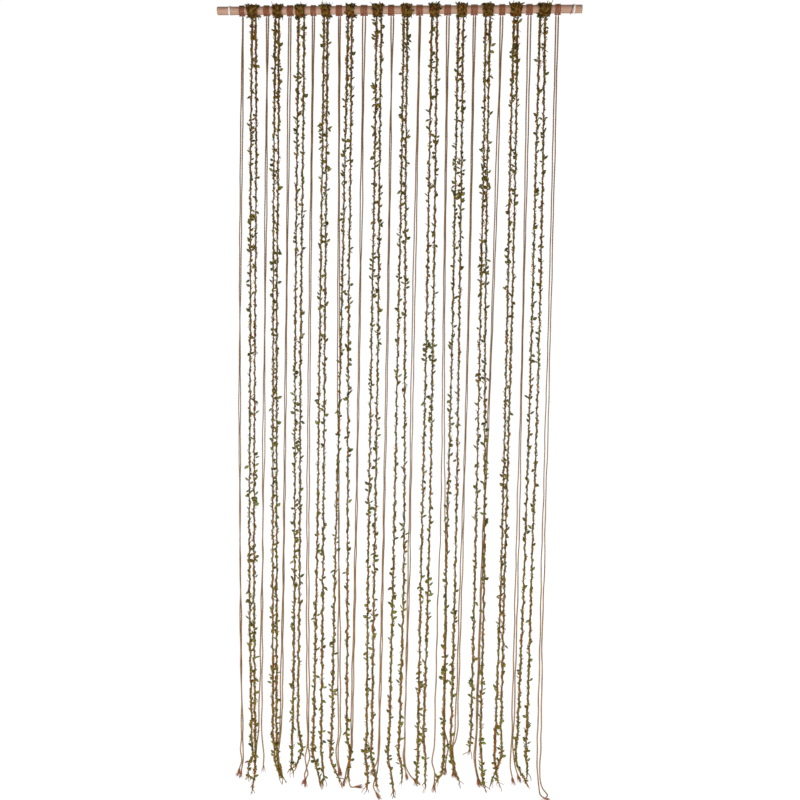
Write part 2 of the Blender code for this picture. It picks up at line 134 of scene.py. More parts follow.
HANKS = (
    Hank(Kind.CORD, -388, 13.0, (2, -3, 1, 8), (0, 4, 5, 4, 3, 0, 3, 3, 0, 0, 2, 0, 3),
         ((4, 1889), (8, 1916), (2, 1938)),
         ((11, 1889), (11, 1916), (7, 1943))),
    Hank(Kind.LEAF, -361, 34.5, (3, 5, 6, 13), (9, 14, 12, 12, 9),
         ((12, 1883), (11, 1905), (2, 1921), (0, 1948)),
         ((18, 1883), (18, 1923), (17, 1950), (12, 1985))),
    Hank(Kind.CORD, -326, 14.5, (2, -1, -3, -6), (5, 0, 3, 5, 2, 0, 3, 6, 0, 0, 4, 6, 9),
         ((-15, 1874), (-17, 1901), (-17, 1920)),
         ((1, 1873), (4, 1900), (3, 1927)), fray=(0.0, 0.35)),
    Hank(Kind.LEAF, -298, 29.0, (-2, -1, 3, 6), (9, 11, 9, 10, 9),
         ((6, 1867), (7, 1899), (11, 1921), (19, 1942)),
         ((11, 1867), (14, 1899), (18, 1920), (25, 1949))),
    Hank(Kind.CORD, -267, 15.0, (-1, -5, -7, -11), (5, 6, 5, 3, 1, 2, 3, 3, 2, 2, 2, 6, 3),
         ((-18, 1869), (-21, 1896), (-17, 1922)),
         ((-14, 1869), (-17, 1901), (-12, 1933))),
    Hank(Kind.LEAF, -242, 30.0, (3, 2, 5, 4), (14, 15, 14, 13, 13),
         ((-4, 1865), (-4, 1897), (-6, 1927)),
         ((17, 1851), (22, 1872), (17, 1894), (8, 1918))),
    Hank(Kind.CORD, -209, 13.0, (0, -3, -2, 3), (5, 2, 2, 3, 4, 4, 5, 5, 6, 5, 6, 6, 1),
         ((1, 1876), (-4, 1903), (0, 1930), (-5, 1947), (-4, 1958)),
         ((4, 1876), (8, 1903), (0, 1930), (4, 1945), (-1, 1958))),
    Hank(Kind.LEAF, -177, 29.0, (-1, -1, -1, -3), (9, 10, 13, 16, 20),
         ((-15, 1860), (-15, 1884), (-10, 1903), (-3, 1929), (4, 1958)),
         ((8, 1862), (7, 1881), (11, 1907), (15, 1950))),
    Hank(Kind.CORD, -145, 15.0, (1, 7, 15, 21), (4, 2, 1, 2, 4, 5, 6, 0, 0, 0, 5, 6, 6),
         ((13, 1878), (15, 1905), (20, 1926)),
         ((19, 1865), (19, 1905), (22, 1926))),
    Hank(Kind.LEAF, -117, 26.5, (-1, -4, -6, -6), (9, 14, 18, 32, 39),
         ((-27, 1861), (-29, 1888), (-25, 1909), (-16, 1930), (-5, 1951)),
         ((20, 1867), (23, 1891), (19, 1920), (17, 1942))),
    Hank(Kind.CORD, -83, 17.0, (0, -2, -5, -9), (7, 3, 3, 6, 2, 3, 3, 2, 3, 3, 3, 4, 3),
         ((-10, 1871), (-15, 1904), (-21, 1931), (-25, 1955)),
         ((-7, 1866), (-11, 1898), (-15, 1930), (-14, 1962), (-9, 1976), (1, 1976))),
    Hank(Kind.LEAF, -49, 32.0, (3, 4, 3, 4), (12, 12, 16, 16, 13),
         ((-4, 1857), (-6, 1876), (-3, 1910), (1, 1937), (0, 1961)),
         ((10, 1857), (9, 1883), (14, 1910), (21, 1936), (25, 1962))),
    Hank(Kind.CORD, -16, 15.0, (3, 2, -1, -4), (6, 0, 4, 2, 3, 3, 4, 3, 3, 2, 4, 3, 2),
         ((-6, 1887), (-9, 1906), (-16, 1922)),
         ((-4, 1887), (-6, 1914), (-9, 1940), (-16, 1962), (-17, 1976), (-11, 1987))),
    Hank(Kind.LEAF, 22, 32.0, (-2, 0, 2, -2), (9, 10, 17, 27, 26),
         ((-18, 1863), (-16, 1900), (-9, 1929), (-3, 1974)),
         ((9, 1862), (11, 1885), (17, 1909), (20, 1933))),
    Hank(Kind.CORD, 54, 16.0, (1, -3, -4, -8), (3, 2, 3, 5, 6, 5, 6, 4, 3, 5, 3, 0, 2),
         ((-8, 1857), (-11, 1884), (-7, 1913), (-3, 1932)),
         ((-7, 1865), (-7, 1892), (-4, 1916), (7, 1937), (16, 1947))),
    Hank(Kind.LEAF, 91, 31.0, (0, 2, 0, -3), (13, 15, 17, 19, 14),
         ((-10, 1859), (-9, 1883), (-12, 1912), (-11, 1944)),
         ((6, 1851), (10, 1882), (11, 1911), (10, 1951))),
    Hank(Kind.CORD, 123, 16.0, (1, 5, 13, 13), (6, 3, 3, 3, 3, 4, 5, 7, 10, 18, 23, 24, 24),
         ((0, 1862), (-5, 1899), (2, 1926), (2, 1958)),
         ((34, 1845), (36, 1866), (32, 1887), (30, 1911))),
    Hank(Kind.LEAF, 158, 30.0, (-2, 0, -1, -2), (12, 14, 17, 23, 19),
         ((-9, 1849), (-10, 1880), (-12, 1907), (-14, 1923), (-24, 1942)),
         ((7, 1861), (10, 1882), (15, 1900), (26, 1934))),
    Hank(Kind.CORD, 188, 16.0, (1, 1, -4, -9), (5, 3, 3, 3, 3, 3, 3, 3, 3, 6, 5, 5, 8),
         ((-16, 1844), (-19, 1860), (-17, 1892), (-15, 1918)),
         ((-10, 1841), (-17, 1860), (-14, 1892), (-10, 1918))),
    Hank(Kind.LEAF, 222, 32.5, (0, 3, 8, 7), (11, 9, 13, 23, 25),
         ((-6, 1838), (-8, 1856)),
         ((20, 1845), (23, 1876), (25, 1905), (26, 1929), (32, 1947))),
    Hank(Kind.CORD, 256, 14.5, (-1, -8, -20, -25), (6, 2, 6, 5, 4, 3, 3, 3, 3, 3, 3, 3, 3),
         ((-28, 1850), (-30, 1881), (-26, 1910), (-20, 1937)),
         ((-25, 1849), (-26, 1881), (-24, 1910), (-17, 1939))),
    Hank(Kind.LEAF, 290, 35.5, (0, 1, -1, -4), (9, 13, 11, 9, 14),
         ((-11, 1843), (-12, 1875), (-9, 1898), (-1, 1938)),
         ((6, 1842), (6, 1869), (1, 1887), (-7, 1914), (-16, 1933))),
    Hank(Kind.CORD, 322, 15.0, (1, 3, 3, 2), (7, 6, 6, 4, 3, 2, 3, 4, 7, 6, 6, 6, 3),
         ((-1, 1846), (-2, 1877), (-2, 1906), (3, 1930)),
         ((2, 1838), (6, 1877), (10, 1901), (17, 1924))),
    Hank(Kind.LEAF, 359, 38.0, (-4, -3, -7, -12), (12, 17, 19, 19, 24),
         ((-27, 1841), (-26, 1872), (-23, 1893), (-12, 1916), (-1, 1932)),
         ((-1, 1845), (-1, 1874), (3, 1897), (3, 1913))),
    Hank(Kind.CORD, 391, 13.5, (-1, 0, -1, 1), (6, 5, 6, 5, 6, 5, 7, 7, 6, 8, 5, 8, 8),
         ((-3, 1856), (-3, 1896), (0, 1927), (3, 1953), (7, 1974), (16, 1982)),
         ((6, 1856), (4, 1895), (6, 1935), (12, 1956), (20, 1967), (26, 1975), (22, 1981)),
         fray=(0.4, 0.1)),
)


def smooth_value(stations: tuple[float, ...], values: tuple[float, ...], at: float) -> float:
    """Read a smooth curve through the given stations at one place.

    Args:
        stations: places along the curve, rising.
        values: the curve's value at each station.
        at: where to read it.

    Returns:
        The value there, held level past both ends.
    """
    last = len(stations) - 1
    if at <= stations[0]:
        return values[0]
    if at >= stations[last]:
        return values[last]
    left = max(index for index in range(last) if stations[index] <= at)

    def slope(index: int) -> float:
        """Slope of the curve at one station."""
        low = max(index - 1, 0)
        high = min(index + 1, last)
        return (values[high] - values[low]) / (stations[high] - stations[low])

    span = stations[left + 1] - stations[left]
    t = (at - stations[left]) / span
    start_weight = 2 * t**3 - 3 * t**2 + 1
    end_weight = 3 * t**2 - 2 * t**3
    start_bend = (t**3 - 2 * t**2 + t) * span * slope(left)
    end_bend = (t**3 - t**2) * span * slope(left + 1)
    return start_weight * values[left] + end_weight * values[left + 1] + start_bend + end_bend


def smooth_step(start: float, end: float, at: float) -> float:
    """Rise smoothly from 0 at start to 1 at end."""
    t = min(max((at - start) / (end - start), 0.0), 1.0)
    return t * t * (3 - 2 * t)


def flowing_line(stations: Points, parts: int) -> Points:
    """Points of a Catmull-Rom curve through the stations.

    Args:
        stations: the places that the curve passes through.
        parts: how many points each stretch between two stations gets.

    Returns:
        The curve's points, the stations among them.
    """
    line: Points = []
    last = len(stations) - 1
    for index in range(last):
        before = stations[max(index - 1, 0)]
        start = stations[index]
        end = stations[index + 1]
        after = stations[min(index + 2, last)]
        for part in range(parts):
            t = part / parts
            bend = (2 * before - 5 * start + 4 * end - after) * t**2
            turn = (3 * start - before - 3 * end + after) * t**3
            line.append((2 * start + (end - before) * t + bend + turn) / 2)
    line.append(stations[last].copy())
    return line


@dataclass
class Wander:
    """Small sideways waves of a hanging strand, different on each and wider low down.

    Each direction adds up one main wave and two weaker ones at other rates.
    """

    amplitude: float
    wavelength: float
    growth: float
    chance: random.Random
    loose_depths: tuple[float, float] = (700 * MM, 1500 * MM)
    weights: Triple = (1.0, 0.6, 0.35)
    x_rates: Triple = (1.0, 0.43, 1.9)
    y_rates: Triple = (0.9, 0.37, 2.1)
    usual_sum: float = 1.6

    def __post_init__(self) -> None:
        """Draw the phases of the waves and how far they are stretched."""
        self.phases = [self.chance.uniform(0, math.tau) for _ in range(6)]
        self.stretch = self.chance.uniform(0.85, 1.15)

    def wave(self, turn: float, rates: Triple, phases: list[float]) -> float:
        """Sum of the three waves of one direction."""
        return sum(
            weight * math.sin(turn * rate + phase)
            for weight, rate, phase in zip(self.weights, rates, phases)
        )

    def at(self, depth: float) -> Vector:
        """Offset in X and Y at a depth."""
        turn = math.tau * depth / (self.wavelength * self.stretch)
        x = self.wave(turn, self.x_rates, self.phases[:3])
        y = self.wave(turn, self.y_rates, self.phases[3:])
        looser = 1 + self.growth * smooth_step(*self.loose_depths, depth)
        return Vector((x, y, 0.0)) * self.amplitude * looser / self.usual_sum


@dataclass
class StrandRoute:
    """Where the two strands of a hank hang, from the same sizes as the frame's solids."""

    hank: Hank
    sway_depths: tuple[float, ...] = (50, 790, 1400, 1840)
    leaf_gap_depths: tuple[float, ...] = (50, 340, 790, 1400, 1840)
    cord_gap_depths: tuple[float, ...] = (
        50, 190, 340, 490, 640, 790, 940, 1090, 1240, 1400, 1550, 1710, 1840,
    )
    cord_distance: float = 4.2 * MM
    stem_distance: float = 8.6 * MM
    garland_forward: float = 4.5 * MM
    cord_setback: float = 5.5 * MM
    parting_depths: tuple[float, float] = (30 * MM, 900 * MM)
    tail_lead: float = 32 * MM

    def beside(self, side: int, x: float, gap: float, depth: float) -> Vector:
        """Place a strand at X and a depth, with its twin a gap away or else behind it.

        Args:
            side: -1 for the left strand, +1 for the right.
            x: where the strand is along the rod.
            gap: how far apart the two strands look from the front.
            depth: how far under the rod's axis.

        Returns:
            The place, far enough from the twin for both to hang free.
        """
        leafy = self.hank.kind is Kind.LEAF
        nearest = self.stem_distance if leafy else self.cord_distance
        behind = math.sqrt(max(nearest**2 - gap**2, 0.0))
        parting = smooth_step(*self.parting_depths, depth)
        y = -self.garland_forward * parting if leafy else self.cord_setback * parting
        return Vector((x, y + side * behind / 2, -depth))

    def tail(self, side: int) -> Points:
        """The listed end of one strand; side is -1 left, +1 right."""
        own, twin = self.hank.left_tail, self.hank.right_tail
        if side > 0:
            own, twin = twin, own
        twin_places, twin_depths = zip(*twin)
        tail: Points = []
        for x, depth in own:
            gap = abs(x - smooth_value(twin_depths, twin_places, depth))
            tail.append(self.beside(side, (self.hank.x + x) * MM, gap * MM, depth * MM))
        return tail

    def centre(self, side: int, depth: float) -> Vector:
        """Centre of one strand at a depth under the rod's axis."""
        hank = self.hank
        gap_depths = self.leaf_gap_depths if hank.kind is Kind.LEAF else self.cord_gap_depths
        middle = smooth_value(self.sway_depths, hank.sway, depth / MM) * MM
        gap = smooth_value(gap_depths, hank.gap, depth / MM) * MM
        return self.beside(side, hank.x * MM + middle + side * gap / 2, gap, depth)

    def hanging(self, side: int, start: float, step: float, wander: Wander) -> Points:
        """Stations of one strand from a starting depth down to the end of its tail.

        Args:
            side: -1 for the left strand, +1 for the right.
            start: the depth of the first station.
            step: about how far apart the stations are.
            wander: the strand's small waves, which fade in below the hitch.

        Returns:
            The stations, top to bottom.
        """
        tail = self.tail(side)
        bottom = -tail[0].z - self.tail_lead
        count = round((bottom - start) / step)
        stations: Points = []
        for index in range(count + 1):
            depth = start + (bottom - start) * index / count
            fade = smooth_step(start, start + 4 * step, depth)
            stations.append(self.centre(side, depth) + wander.at(depth) * fade)
        return stations + tail


@dataclass
class HitchRoute:
    """The path of a cord that goes round the rod in a double hitch.

    The strand rises behind a bar under the rod, goes up the front and round in two or
    three turns that step outwards, and the bar joins the outermost turns of both sides.
    looseness is how far the turns stray, sideways and off the rod, flare and sag how they
    spread and hang below it, and foot how far the outermost turn steps out before it joins
    the bar. crossing is the part of a turn in which the cord steps over to the next one.
    """

    x: float
    width: float
    turns: int
    rod_radius: float
    thickness: float
    looseness: float
    foot: float
    flare: float
    sag: float
    chance: random.Random
    stations_per_turn: int = 10
    lead_deg: float = 6
    crossing: tuple[float, float] = (0.62, 1.0)
    bar_drop: float = 1.05
    inward: float = 0.3
    stray_x: float = 0.45
    stray_out: float = 0.5

    def turn_place(self, index: int) -> float:
        """X of one turn, counted from the left."""
        return self.x - self.width / 2 + self.width * (index + 0.5) / self.turns

    def under(self, x: float, back: float, drop: float) -> Vector:
        """A place under the rod, back and drop counted in thicknesses of the cord."""
        return Vector((x, back * self.thickness, -(self.rod_radius + drop * self.thickness)))

    def side_points(self, side: int, exit_point: Vector) -> Points:
        """Stations of one side, from its strand's exit to the end of the bar.

        Args:
            side: -1 for the left half, +1 for the right.
            exit_point: where the strand hangs free below the hitch.

        Returns:
            The stations in order, starting with the exit point.
        """
        left_count = math.ceil(self.turns / 2)
        order = range(left_count - 1, -1, -1) if side < 0 else range(left_count, self.turns)
        places = [self.turn_place(index) for index in order]
        behind_x = (1 - self.inward) * exit_point.x + self.inward * places[0]
        points = [exit_point, self.under(behind_x, 0.6, self.bar_drop)]
        slack = [self.chance.uniform(0, 1) * self.looseness for _ in places]
        for step in range(self.stations_per_turn * len(places) + 1):
            turn = step / self.stations_per_turn
            angle = math.tau * turn - math.radians(self.lead_deg)
            current = min(int(turn), len(places) - 1)
            onward = places[min(current + 1, len(places) - 1)]
            x = places[current] + (onward - places[current]) * smooth_step(*self.crossing, turn % 1.0)
            x += self.chance.uniform(-1, 1) * self.looseness * self.stray_x
            low = (1 + math.cos(angle)) / 2
            x = self.x + (x - self.x) * (1 + (self.flare - 1) * low)
            outward = min(1.0, abs(x - self.x) / (self.width / 2))
            reach = self.rod_radius + self.thickness / 2 + self.sag * low * (1 - outward * outward)
            reach += self.stray_out * (slack[current] + self.chance.uniform(0, 1) * self.looseness)
            points.append(Vector((x, -reach * math.sin(angle), -reach * math.cos(angle))))
        outer = self.x + (places[-1] - self.x) * self.flare + side * self.foot
        points.append(self.under(outer, 0.15, 0.95))
        points.append(self.under(outer - side * 0.4 * self.thickness, -0.5, 1.1))
        return points

    def points(self, left_exit: Vector, right_exit: Vector) -> Points:
        """Stations of the whole hitch, from the left strand's exit to the right one's."""
        left = self.side_points(-1, left_exit)
        right = self.side_points(1, right_exit)
        return left + [self.under(self.x, -0.45, self.bar_drop)] + list(reversed(right))


class NodeBuilder:
    """Adds nodes to a node tree and links them."""

    def __init__(self, tree: bpy.types.NodeTree) -> None:
        """Take the tree to fill."""
        self.tree = tree

    def node(self, kind: str, inputs: dict | None = None, **settings: object) -> bpy.types.Node:
        """Add one node.

        Args:
            kind: the node's Blender type.
            inputs: socket name or index to a value or to another node's output.
            settings: the node's own properties.

        Returns:
            The new node.
        """
        made = self.tree.nodes.new(kind)
        for key, value in settings.items():
            setattr(made, key, value)
        for key, value in (inputs or {}).items():
            self.feed(made.inputs[key], value)
        return made

    def output(self, kind: str, inputs: dict | None = None, **settings: object) -> Socket:
        """Add one node and return its first output."""
        return self.node(kind, inputs, **settings).outputs[0]

    def feed(self, socket: Socket, value: object) -> None:
        """Link an output to a socket, or set the socket's value."""
        if isinstance(value, Socket):
            self.tree.links.new(value, socket)
        else:
            socket.default_value = value

    def math(self, operation: str, first: object, second: object = 0.0) -> Socket:
        """One step of arithmetic."""
        return self.output("ShaderNodeMath", {0: first, 1: second}, operation=operation)

    def triple(self, x: object = 0.0, y: object = 0.0, z: object = 0.0) -> Socket:
        """A vector of three numbers."""
        return self.output("ShaderNodeCombineXYZ", {"X": x, "Y": y, "Z": z})


class Fade(NamedTuple):
    """How something comes in: none of it up to low, all of its amount from high on."""

    low: float
    high: float
    amount: float = 1.0


class ShaderTree(NodeBuilder):
    """The nodes of one material."""

    BLOTCH_GRAIN: ClassVar[Triple] = (150.0, 150.0, 150.0)
    # Where the blotches of painted shadow come in
    SHADOW_BLOTCH: ClassVar[Fade] = Fade(0.5, 0.42, 0.8)
    LIGHT_BLOTCH: ClassVar[Fade] = Fade(0.53, 0.61, 0.5)
    DRIFT_GRAIN: ClassVar[Triple] = (110.0, 110.0, 11.0)
    DRIFT: ClassVar[Fade] = Fade(0.44, 0.57)

    def __init__(self, name: str) -> None:
        """Start a material with its Principled shader."""
        self.material = bpy.data.materials.new(name)
        self.material.use_nodes = True
        super().__init__(self.material.node_tree)

    def shade(self, inputs: dict) -> bpy.types.Material:
        """Feed the Principled shader and return the material."""
        shader = self.tree.nodes["Principled BSDF"]
        for key, value in inputs.items():
            self.feed(shader.inputs[key], value)
        return self.material

    def attribute(self, name: str) -> Socket:
        """A number stored on the mesh."""
        return self.node("ShaderNodeAttribute", attribute_name=name).outputs["Fac"]

    def place(self) -> Socket:
        """Object coordinates, in metres."""
        return self.node("ShaderNodeTexCoord").outputs["Object"]

    def height(self, place: Socket) -> Socket:
        """Z of a place."""
        return self.node("ShaderNodeSeparateXYZ", {"Vector": place}).outputs["Z"]

    def scaled(self, vector: Socket, scale: Triple, shift: Triple = (0, 0, 0)) -> Socket:
        """A vector stretched and moved by a Mapping node."""
        return self.output("ShaderNodeMapping", {"Vector": vector, "Scale": scale, "Location": shift})

    def noise(self, vector: Socket, grain: Triple, detail: float = 3.0) -> Socket:
        """The number of a noise texture; grain is how finely it varies along each axis."""
        inputs = {"Vector": self.scaled(vector, grain), "Scale": 1.0, "Detail": detail}
        return self.node("ShaderNodeTexNoise", inputs).outputs["Fac"]

    def spread(self, value: Socket, low: float, high: float, to_low: float, to_high: float) -> Socket:
        """Map a number from one range to another, held at both ends."""
        inputs = {"Value": value, "From Min": low, "From Max": high, "To Min": to_low, "To Max": to_high}
        return self.output("ShaderNodeMapRange", inputs)

    def faded(self, value: Socket, fade: Fade) -> Socket:
        """How far something has come in at a value."""
        return self.spread(value, fade.low, fade.high, 0.0, fade.amount)

    def tint(self, base: object, colour: Colour, value: Socket, fade: Fade) -> Socket:
        """Let a second colour come in over the base."""
        return self.blend(self.faded(value, fade), base, colour)

    def blotched(self, place: Socket, colour: Socket, dark: Colour, light: Colour) -> Socket:
        """Blotches of painted shadow and lighter blotches, some 7 mm wide and strongest near the rod."""
        blotches = self.noise(place, self.BLOTCH_GRAIN, 2.0)
        near = self.spread(self.height(place), -32 * MM, -12 * MM, 0.25, 1.0)
        darker = self.math("MULTIPLY", self.faded(blotches, self.SHADOW_BLOTCH), near)
        lighter = self.math("MULTIPLY", self.faded(blotches, self.LIGHT_BLOTCH), near)
        return self.blend(lighter, self.blend(darker, colour, dark), light)

    def drift(self, place: Socket) -> Socket:
        """Long soft patches, from 0 to 1, that differ from strand to strand."""
        return self.faded(self.noise(place, self.DRIFT_GRAIN, 2.0), self.DRIFT)

    def blend(self, share: object, first: object, second: object) -> Socket:
        """Blend two colours."""
        made = self.node("ShaderNodeMix", data_type="RGBA")
        self.feed(made.inputs["Factor"], share)
        self.feed(made.inputs["A"], opaque(first))
        self.feed(made.inputs["B"], opaque(second))
        return made.outputs["Result"]

    def ramp(self, value: Socket, stops: tuple[tuple[float, Colour], ...]) -> Socket:
        """A colour for each part of a 0 to 1 range."""
        made = self.node("ShaderNodeValToRGB", {"Fac": value})
        elements = made.color_ramp.elements
        while len(elements) < len(stops):
            elements.new(0.5)
        for element, (position, colour) in zip(elements, stops):
            element.position = position
            element.color = opaque(colour)
        return made.outputs["Color"]

    def tones(self, value: Socket, dark: Colour, mid: Colour, light: Colour) -> Socket:
        """Dark, middle and light stretches of one fibre."""
        return self.ramp(value, ((0.3, dark), (0.5, mid), (0.72, light)))

    def bump(self, height: Socket, strength: float, distance: float) -> Socket:
        """A bumped normal."""
        inputs = {"Height": height, "Strength": strength, "Distance": distance}
        return self.output("ShaderNodeBump", inputs)


def opaque(value: object) -> object:
    """Give a plain colour its alpha, and leave a socket as it is."""
    if isinstance(value, tuple) and len(value) == 3:
        return (*value, 1.0)
    return value


def tone(red: int, green: int, blue: int) -> Colour:
    """A colour as the eye reads it, 0 to 255, in the shader's linear light."""

    def linear(level: int) -> float:
        """One channel in linear light."""
        share = level / 255
        return share / 12.92 if share <= 0.04045 else ((share + 0.055) / 1.055) ** 2.4

    return linear(red), linear(green), linear(blue)


@dataclass(frozen=True)
class WoodFinish:
    """Raw turned dowel: pale pinkish wood with fine growth rings and pores, with painted shade towards its
    top.
    """

    pale: Colour = tone(187, 149, 131)
    streak: Colour = tone(156, 116, 96)
    warm: Colour = tone(175, 144, 117)
    # Colour of the painted shade towards the top of the rod
    top_shade: Colour = tone(138, 106, 88)
    ring_spacing: float = 1.9 * MM
    ring_stretch: Triple = (0.12, 1.0, 1.0)
    pith_offset: Triple = (0.0, 0.021, 0.034)
    ring_fade: Fade = Fade(0.45, 1.0, 0.7)
    warm_grain: Triple = (9.0, 60.0, 60.0)
    warm_fade: Fade = Fade(0.35, 0.7)
    pore_grain: Triple = (60.0, 1500.0, 1500.0)
    pore_fade: Fade = Fade(0.55, 0.75, 0.4)
    # How the painted shade comes in towards the top of the rod
    top_shade_fade: Fade = Fade(-4 * MM, 10 * MM, 0.55)

    def material(self) -> bpy.types.Material:
        """Build the material."""
        tree = ShaderTree("rod_wood")
        place = tree.place()
        rings = tree.node(
            "ShaderNodeTexWave",
            {
                "Vector": tree.scaled(place, self.ring_stretch, self.pith_offset),
                "Scale": 0.3 / self.ring_spacing,
                "Distortion": 2.4,
                "Detail": 3.0,
                "Detail Scale": 0.9,
            },
            wave_type="RINGS",
            rings_direction="X",
        ).outputs["Fac"]
        pores = tree.noise(place, self.pore_grain, 2.0)
        body = tree.tint(self.pale, self.warm, tree.noise(place, self.warm_grain), self.warm_fade)
        ringed = tree.tint(body, self.streak, rings, self.ring_fade)
        pored = tree.tint(ringed, self.streak, pores, self.pore_fade)
        relief = tree.math("ADD", tree.math("MULTIPLY", rings, 0.3), pores)
        return tree.shade(
            {
                # Painted shade: the wood is darker towards the top of the rod
                "Base Color": tree.tint(pored, self.top_shade, tree.height(place), self.top_shade_fade),
                "Roughness": 0.58,
                "Specular IOR Level": 0.35,
                "Normal": tree.bump(relief, 0.35, 0.12 * MM),
            }
        )


@dataclass(frozen=True)
class CordFinish:
    """Twisted fibre cord with painted shade between its plies and fine hair along it."""

    name: str
    dark: Colour
    mid: Colour
    light: Colour
    wound: Colour
    # Colour of the painted light on the top of the hitch, lighter and more olive
    lit_top: Colour | None = None
    # How much painted shade falls in the valleys between the plies
    valley: float = 0.55
    patches: float = 28.0
    fuzz: float = 0.0
    strand_step: float = 37.0
    hair_grain: Triple = (2600.0, 2600.0, 700.0)
    hair_fade: Fade = Fade(0.4, 0.72, 0.55)
    wound_share: float = 0.7
    # How the painted light comes in towards the top of the hitch
    lit_top_fade: Fade = Fade(3 * MM, 10 * MM, 0.75)

    def patched(self, tree: ShaderTree, place: Socket, slow: Socket, base: Socket) -> Socket:
        """Add stretches of another colour, of which a plain cord has none."""
        return base

    def finished(self, tree: ShaderTree, place: Socket, colour: Socket) -> Socket:
        """Add blotches, of which a plain cord has none."""
        return colour

    def material(self) -> bpy.types.Material:
        """Build the material."""
        tree = ShaderTree(self.name)
        place = tree.place()
        valley = tree.attribute("valley")
        run = tree.triple(tree.attribute("along"), tree.attribute("strand"), valley)
        slow = tree.noise(run, (self.patches, self.strand_step, 0.3), 4.0)
        hair = tree.noise(place, self.hair_grain)
        base = self.patched(tree, place, slow, tree.tones(slow, self.dark, self.mid, self.light))
        haired = tree.tint(base, self.light, hair, self.hair_fade)
        # Painted shade in the valleys between the plies
        hanging = tree.tint(haired, self.dark, valley, Fade(0.35, 1.0, self.valley))
        warmed = tree.blend(self.wound_share, hanging, self.wound)
        # Painted light: the top of the hitch is lighter and more olive
        if self.lit_top:
            warmed = tree.tint(warmed, self.lit_top, tree.height(place), self.lit_top_fade)
        colour = tree.blend(tree.attribute("wound"), hanging, warmed)
        return tree.shade(
            {
                "Base Color": self.finished(tree, place, colour),
                "Roughness": 0.9,
                "Specular IOR Level": 0.08,
                "Sheen Weight": self.fuzz,
                "Sheen Roughness": 0.5,
                "Normal": tree.bump(hair, 0.6, 0.25 * MM),
            }
        )


@dataclass(frozen=True)
class CoreFinish(CordFinish):
    """The garlands' core cord, olive with rusty stretches."""

    rust_dark: Colour = tone(56, 27, 8)
    rust_mid: Colour = tone(118, 61, 22)
    rust_light: Colour = tone(152, 94, 38)
    shadow: Colour = tone(44, 32, 16)
    moss: Colour = tone(134, 116, 52)

    def patched(self, tree: ShaderTree, place: Socket, slow: Socket, base: Socket) -> Socket:
        """Add rusty stretches."""
        rusty = tree.tones(slow, self.rust_dark, self.rust_mid, self.rust_light)
        return tree.blend(tree.drift(place), base, rusty)

    def finished(self, tree: ShaderTree, place: Socket, colour: Socket) -> Socket:
        """Add blotches of painted shadow and olive blotches."""
        return tree.blotched(place, colour, self.shadow, self.moss)


@dataclass(frozen=True)
class LeafFinish:
    """Dull fabric leaves, each its own shade from brown to green, darker at the tip."""

    stops: tuple[tuple[float, Colour], ...] = (
        (0.0, tone(68, 31, 6)),
        (0.16, tone(147, 81, 22)),
        (0.32, tone(155, 123, 32)),
        (0.46, tone(63, 43, 9)),
        (0.6, tone(140, 128, 46)),
        (0.78, tone(58, 64, 31)),
        (1.0, tone(117, 126, 52)),
    )
    tip: Colour = tone(34, 36, 18)
    rib: Colour = tone(118, 112, 56)
    moss: Colour = tone(132, 114, 54)
    green_levels: tuple[float, float] = (-1.5, -0.5)
    green_gain: float = 0.2
    shade_shift: float = 0.1
    rust_shift: float = -0.2
    mottle_grain: Triple = (420.0, 420.0, 420.0)
    mottle_fade: Fade = Fade(0.4, 0.7, 0.35)
    rib_fade: Fade = Fade(0.75, 1.0, 0.3)
    tip_fade: Fade = Fade(0.6, 1.0, 0.45)
    weave_grain: Triple = (3200.0, 3200.0, 3200.0)

    def material(self) -> bpy.types.Material:
        """Build the material."""
        tree = ShaderTree("garland_leaf")
        place = tree.place()
        lower = tree.spread(tree.height(place), *self.green_levels, self.green_gain, 0.0)
        rusty = tree.math("MULTIPLY", tree.drift(place), self.rust_shift)
        shade = tree.math("ADD", tree.attribute("shade"), self.shade_shift)
        own = tree.ramp(tree.math("ADD", shade, tree.math("ADD", lower, rusty)), self.stops)
        worn = tree.tint(own, self.tip, tree.noise(place, self.mottle_grain), self.mottle_fade)
        ribbed = tree.tint(worn, self.rib, tree.attribute("rib"), self.rib_fade)
        colour = tree.tint(ribbed, self.tip, tree.attribute("reach"), self.tip_fade)
        return tree.shade(
            {
                # Its dark blotches are painted shadow, in the tip colour
                "Base Color": tree.blotched(place, colour, self.tip, self.moss),
                "Roughness": 0.66,
                "Specular IOR Level": 0.12,
                "Normal": tree.bump(tree.noise(place, self.weave_grain, 2.0), 0.4, 0.1 * MM),
            }
        )


def paper_material() -> bpy.types.Material:
    """Plain pale paper of the studio sweep, lit through from behind and even all over."""
    return ShaderTree("studio_paper").shade(
        {
            "Base Color": opaque((0.04, 0.04, 0.04)),
            "Roughness": 0.9,
            "Specular IOR Level": 0.1,
            "Emission Color": opaque((1.0, 1.0, 1.0)),
            "Emission Strength": 1.0,
        }
    )


